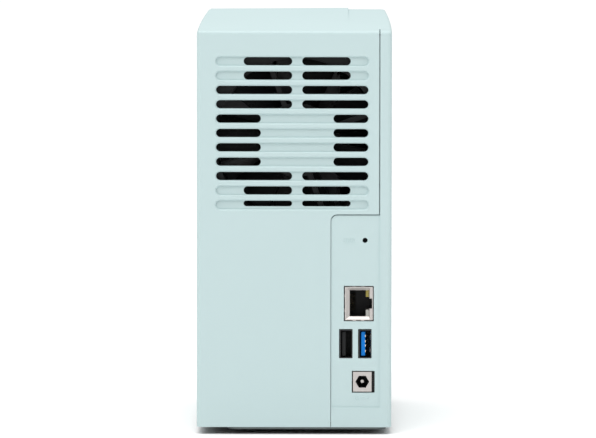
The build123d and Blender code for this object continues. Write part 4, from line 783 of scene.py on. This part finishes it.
# Places kept free: the middle, then half of the width and half of the height.
taken = np.array([(4, 64, 21, 21), (-34, 96, 8, 8), (34, 56, 7, 7), (-36, 72, 6, 6),
                  (-9, 96, 10, 8), (17, 96, 10, 8), (30, 108, 9, 13), (-36, 34, 14, 14),
                  (-38, 122, 7, 7), (-4, 122, 24, 6), (38, 25, 7, 10), (-4, 12, 34, 9),
                  (60, 60, 14, 40), (45, 121, 10, 12), (-63, 128, 6, 24), (-63, 37, 7, 16),
                  (-62, 68, 8, 10), (27, 77, 7, 6)])
clear = (np.abs(spots[:, None] - taken[None, :, :2]) > taken[None, :, 2:]).any(-1).all(-1)
holes = np.array([(69, 11.5), (52, 89.6), (-61.1, 12), (-61.1, 145), (40.7, 145)])
HOLE_CLEAR = 5.0
clear &= (np.linalg.norm(spots[:, None] - holes[None], axis=-1) > HOLE_CLEAR).all(-1)
clear &= ~((spots[:, 0] > 43) & (spots[:, 1] > 90))
spots = spots[clear]
centres = np.concatenate([np.full((len(spots), 1), board_x + 0.22 * MM), spots * MM], -1)
turned = (np.arange(len(spots)) % 3 == 0)[:, None]
along = np.where(turned, (0.0, 0.0, 1.0), (0.0, 1.0, 0.0))
body = np.where(turned, (0.44, 0.8, 1.0), (0.44, 1.0, 0.8)) * MM
ends_size = np.where(turned, (0.48, 0.84, 0.35), (0.48, 0.35, 0.84)) * MM
make_piece("small_passives", [blocks(centres, body)], "chip", "chassis", 0.05 * MM)
both_ends = np.concatenate([centres + along * 0.6 * MM, centres - along * 0.6 * MM])
make_piece("passive_ends", [blocks(both_ends, np.concatenate([ends_size, ends_size]))], "screw",
           "chassis", 0.04 * MM)

pins = [(board_x + 0.3 * MM, 47.0 * MM, z * MM) for z in np.arange(54.5, 68, 1.6)]
make_piece("transformer", [blocks([(board_x + 2.6 * MM, 42.0 * MM, 61.0 * MM)],
                                  (5.0 * MM, 8.0 * MM, 15.0 * MM)),
                           blocks(pins, (0.3 * MM, 2.2 * MM, 0.6 * MM))],
           "chip", "chassis", 0.4 * MM)
can = np.array([(0.0, 0.0), (2.4, 0.0), (2.4, 0.3), (2.0, 0.35), (2.0, 2.6), (1.6, 3.0),
                (0.0, 3.0)])
make_piece("crystal", [lathe((board_x, 20.0 * MM, 42.0 * MM), "X", can * MM)], "nickel", "chassis")
turns = np.linspace(0, 2 * np.pi * 9, 220)
coil = np.stack([board_x + (0.9 + 3.2 * turns / turns[-1]) * MM, (24.0 + 3.2 * np.cos(turns)) * MM,
                 (28.0 + 3.2 * np.sin(turns)) * MM], -1)
make_piece("coil_winding", [sweep(coil, ring_of(0.17 * MM, 8), (1, 0, 0))], "bearing", "chassis")
drum = np.array([(0, 0), (3.9, 0), (3.9, 0.7), (2.9, 0.9), (2.9, 4.2), (3.9, 4.4), (3.9, 5.0),
                 (0, 5.0)])
make_piece("coil_drum", [lathe((board_x, 24.0 * MM, 28.0 * MM), "X", drum * MM)], "chip", "chassis")

# %% [markdown]
# ## Inside: sockets for the drives
#
# Each drive drops onto an upright socket. In its two narrow slots lie rows of gilt contacts,
# seven for the signals and fifteen for the power, at a pitch of 1.27 mm.

# %% Contacts in the drive sockets and in the link socket
CONTACT_PITCH = 1.27
SIGNAL_CONTACTS = 7
POWER_CONTACTS = 15
CONTACTS = SIGNAL_CONTACTS + POWER_CONTACTS
for number in ("1", "2"):
    x0, x1, y0, y1, z0, z1 = edges_of("sata_connector_" + number)
    x, y = (x0 + x1) / 2, (y0 + y1) / 2
    signals = y / MM - 18.5 + 3.7 + (np.arange(SIGNAL_CONTACTS) - 2.0) * CONTACT_PITCH
    powers = y / MM - 0.5 + 0.6 + np.arange(POWER_CONTACTS) * CONTACT_PITCH
    rows = np.concatenate([signals, powers])
    spots = np.stack([np.full(CONTACTS, x + 1.12 * MM), rows * MM,
                      np.full(CONTACTS, z1 - 2.6 * MM)], -1)
    make_piece("drive_contacts_" + number, [blocks(spots, (0.14 * MM, 0.6 * MM, 4.4 * MM))], "gold",
               "chassis", 0.03 * MM)
x0, x1, y0, y1, z0, z1 = edges_of("link_socket")
LINK_PITCH = 1.6 * MM
rows = np.arange(y0 + 4 * MM, y1 - 3 * MM, LINK_PITCH)
spots = np.stack([np.full(len(rows), x1 + 0.05 * MM), rows, np.full(len(rows), z1 - 1.4 * MM)], -1)
make_piece("link_contacts", [blocks(spots, (0.3 * MM, 0.7 * MM, 1.0 * MM))], "gold", "chassis",
           0.03 * MM)

# %% [markdown]
# ## Capacitor tops, coin cell and heat sink
#
# A capacitor's can has a scored cross on its top, which opens if the pressure rises. The coin
# cell carries a plus sign and lies under a sprung strap. The heat sink is held down by a wire
# clip that crosses it between two fins.

# %% Scored tops, cell strap, plus sign and sink clip
capacitor_places = [(-20.0 + 11.0 * step, 122.0) for step in range(4)]
capacitor_places += [(38.0, 30.0), (38.0, 20.0)]
top = board_x + 7.5 * MM
rim = np.array([(2.45, 0.0), (3.0, 0.0), (3.0, 0.18), (2.7, 0.25), (2.45, 0.12), (2.45, 0.0)])
parts = []
for y, z in capacitor_places:
    parts.append(lathe((top, y * MM, z * MM), "X", rim * MM, 24))
    parts.append(blocks([(top + 0.03 * MM, y * MM, z * MM)], (0.1 * MM, 4.2 * MM, 0.25 * MM)))
    parts.append(blocks([(top + 0.03 * MM, y * MM, z * MM)], (0.1 * MM, 0.25 * MM, 4.2 * MM)))
make_piece("capacitor_tops", parts, "can", "chassis")
x0, x1, y0, y1, z0, z1 = edges_of("coin_cell")
y, z = (y0 + y1) / 2, (z0 + z1) / 2
plus = [blocks([(x1 + 0.03 * MM, y, z - 4 * MM)], (0.14 * MM, 3.0 * MM, 0.6 * MM)),
        blocks([(x1 + 0.03 * MM, y, z - 4 * MM)], (0.14 * MM, 0.6 * MM, 3.0 * MM))]
make_piece("cell_plus", plus, "cell", "chassis", 0.04 * MM)
strap = [(x1 - 1.2 * MM, y, z0 - 0.9 * MM), (x1 + 0.3 * MM, y, z0 - 0.6 * MM),
         (x1 + 0.35 * MM, y, z0 + 2.0 * MM), (x1 + 0.15 * MM, y, z0 + 4.4 * MM)]
make_piece("cell_strap", [sweep(strap, rectangle(0.2 * MM, 3.4 * MM), (0, 1, 0))], "nickel",
           "chassis")
x0, x1, y0, y1, z0, z1 = edges_of("heat_sink")
gap_y = (y0 + y1) / 2 + 2.05 * MM
t = np.linspace(0, 1, 25)
wire = np.stack([x0 + (3.7 + 1.2 * np.sin(np.pi * t)) * MM, np.full(25, gap_y),
                 z0 - 1.5 * MM + (z1 - z0 + 3.0 * MM) * t], -1)
make_piece("sink_clip", [sweep(wire, ring_of(0.5 * MM, 10), (0, 1, 0))], "shaft", "chassis")

# %% [markdown]
# ## Fan, trays, handles and feet
#
# The fan's motor carries a plain round label with a bright ring. A tray has three pressed ribs
# that stiffen its back and four screws with rubber rings that hold the drive. A handle has
# grip ridges for the finger. The underside of a foot has rings that keep it from slipping.

# %% Fan label and its ring
x0, x1, y0, y1, z0, z1 = edges_of("fan_frame")
SHAFT_RADIUS = 1.5 * MM
fan_x, fan_z, fan_y = edges_of("fan_shaft")[0] + SHAFT_RADIUS, (z0 + z1) / 2, y1
label = np.array([(4.0, 0.0), (14.5, 0.0), (14.5, 0.08), (4.0, 0.08), (4.0, 0.0)]) * MM
make_piece("fan_label", [lathe((fan_x, fan_y, fan_z), "Y", label, 48)], "tray", "chassis")
ring = np.array([(12.2, 0.08), (12.9, 0.08), (12.9, 0.14), (12.2, 0.14), (12.2, 0.08)]) * MM
make_piece("fan_label_ring", [lathe((fan_x, fan_y, fan_z), "Y", ring, 48)], "screw", "chassis")

# %% Tray ribs, drive screws and grip ridges
head = np.array([(0, 0), (2.6, 0), (2.6, 0.2), (1.9, 0.36), (0.7, 0.36), (0.5, 0.1), (0, 0.1)])
ring = np.array([(2.7, 0), (3.6, 0), (3.6, 0.2), (3.1, 0.34), (2.7, 0.2), (2.7, 0)])
for number in ("1", "2"):
    x0, x1, y0, y1, z0, z1 = edges_of("tray_" + number)
    tray_top = z1 - 4.0 * MM
    parts, screws, rings = [], [], []
    for y, way in ((y0, -1), (y1, 1)):
        for share in (0.25, 0.75):
            place = (x0 + 14.0 * MM, y, z0 + (tray_top - z0) * share)
            screws.append(lathe(place, "Y", head * (1, way) * MM, 20))
            rings.append(lathe(place, "Y", ring * (1, way) * MM, 20))
    for share in (0.015, 0.495, 0.985):
        z = z0 + (tray_top - z0) * share
        line = [(x0 + 1.45 * MM, y0 + 8 * MM, z), (x0 + 1.45 * MM, y1 - 8 * MM, z)]
        parts.append(sweep(line, ring_of(0.28 * MM, 10), (0, 0, 1)))
    make_piece("tray_ribs_" + number, parts, "tray", "tray_" + number)
    make_piece("drive_screws_" + number, screws, "screw", "tray_" + number)
    make_piece("drive_rings_" + number, rings, "rubber", "tray_" + number)
    x0, x1, y0, y1, z0, z1 = edges_of("tray_handle_" + number)
    top = (z0 + z1) / 2 + 1.5 * MM
    ridges = [sweep([(x0 + 3.2 * MM, y, top), (x1 - 3.2 * MM, y, top)], ring_of(0.3 * MM, 10),
                    (0, 0, 1)) for y in y1 - np.array([2.2, 3.6, 5.0]) * MM]
    make_piece("grip_ridges_" + number, ridges, "tray", "handle_" + number)

# %% Rings under the feet
feet = nodes["rubber_feet"]
count = len(feet.data.vertices)
points = np.empty(count * 3)
feet.data.vertices.foreach_get("co", points)
points = points.reshape(-1, 3)
centre = (points.min(0) + points.max(0)) / 2
parts = []
for way_x in (-1, 1):
    for way_y in (-1, 1):
        mine = points[((points[:, 0] - centre[0]) * way_x > 0)
                      & ((points[:, 1] - centre[1]) * way_y > 0)]
        foot = (mine.min(0) + mine.max(0)) / 2
        for radius in (2.0, 3.6):
            ridge = np.array([(radius - 0.3, 0.0), (radius + 0.3, 0.0), (radius + 0.3, 0.25),
                              (radius - 0.3, 0.25), (radius - 0.3, 0.0)]) * MM
            parts.append(lathe((foot[0], foot[1], 0.0), "Z", ridge))
make_piece("foot_rings", parts, "rubber", "chassis")
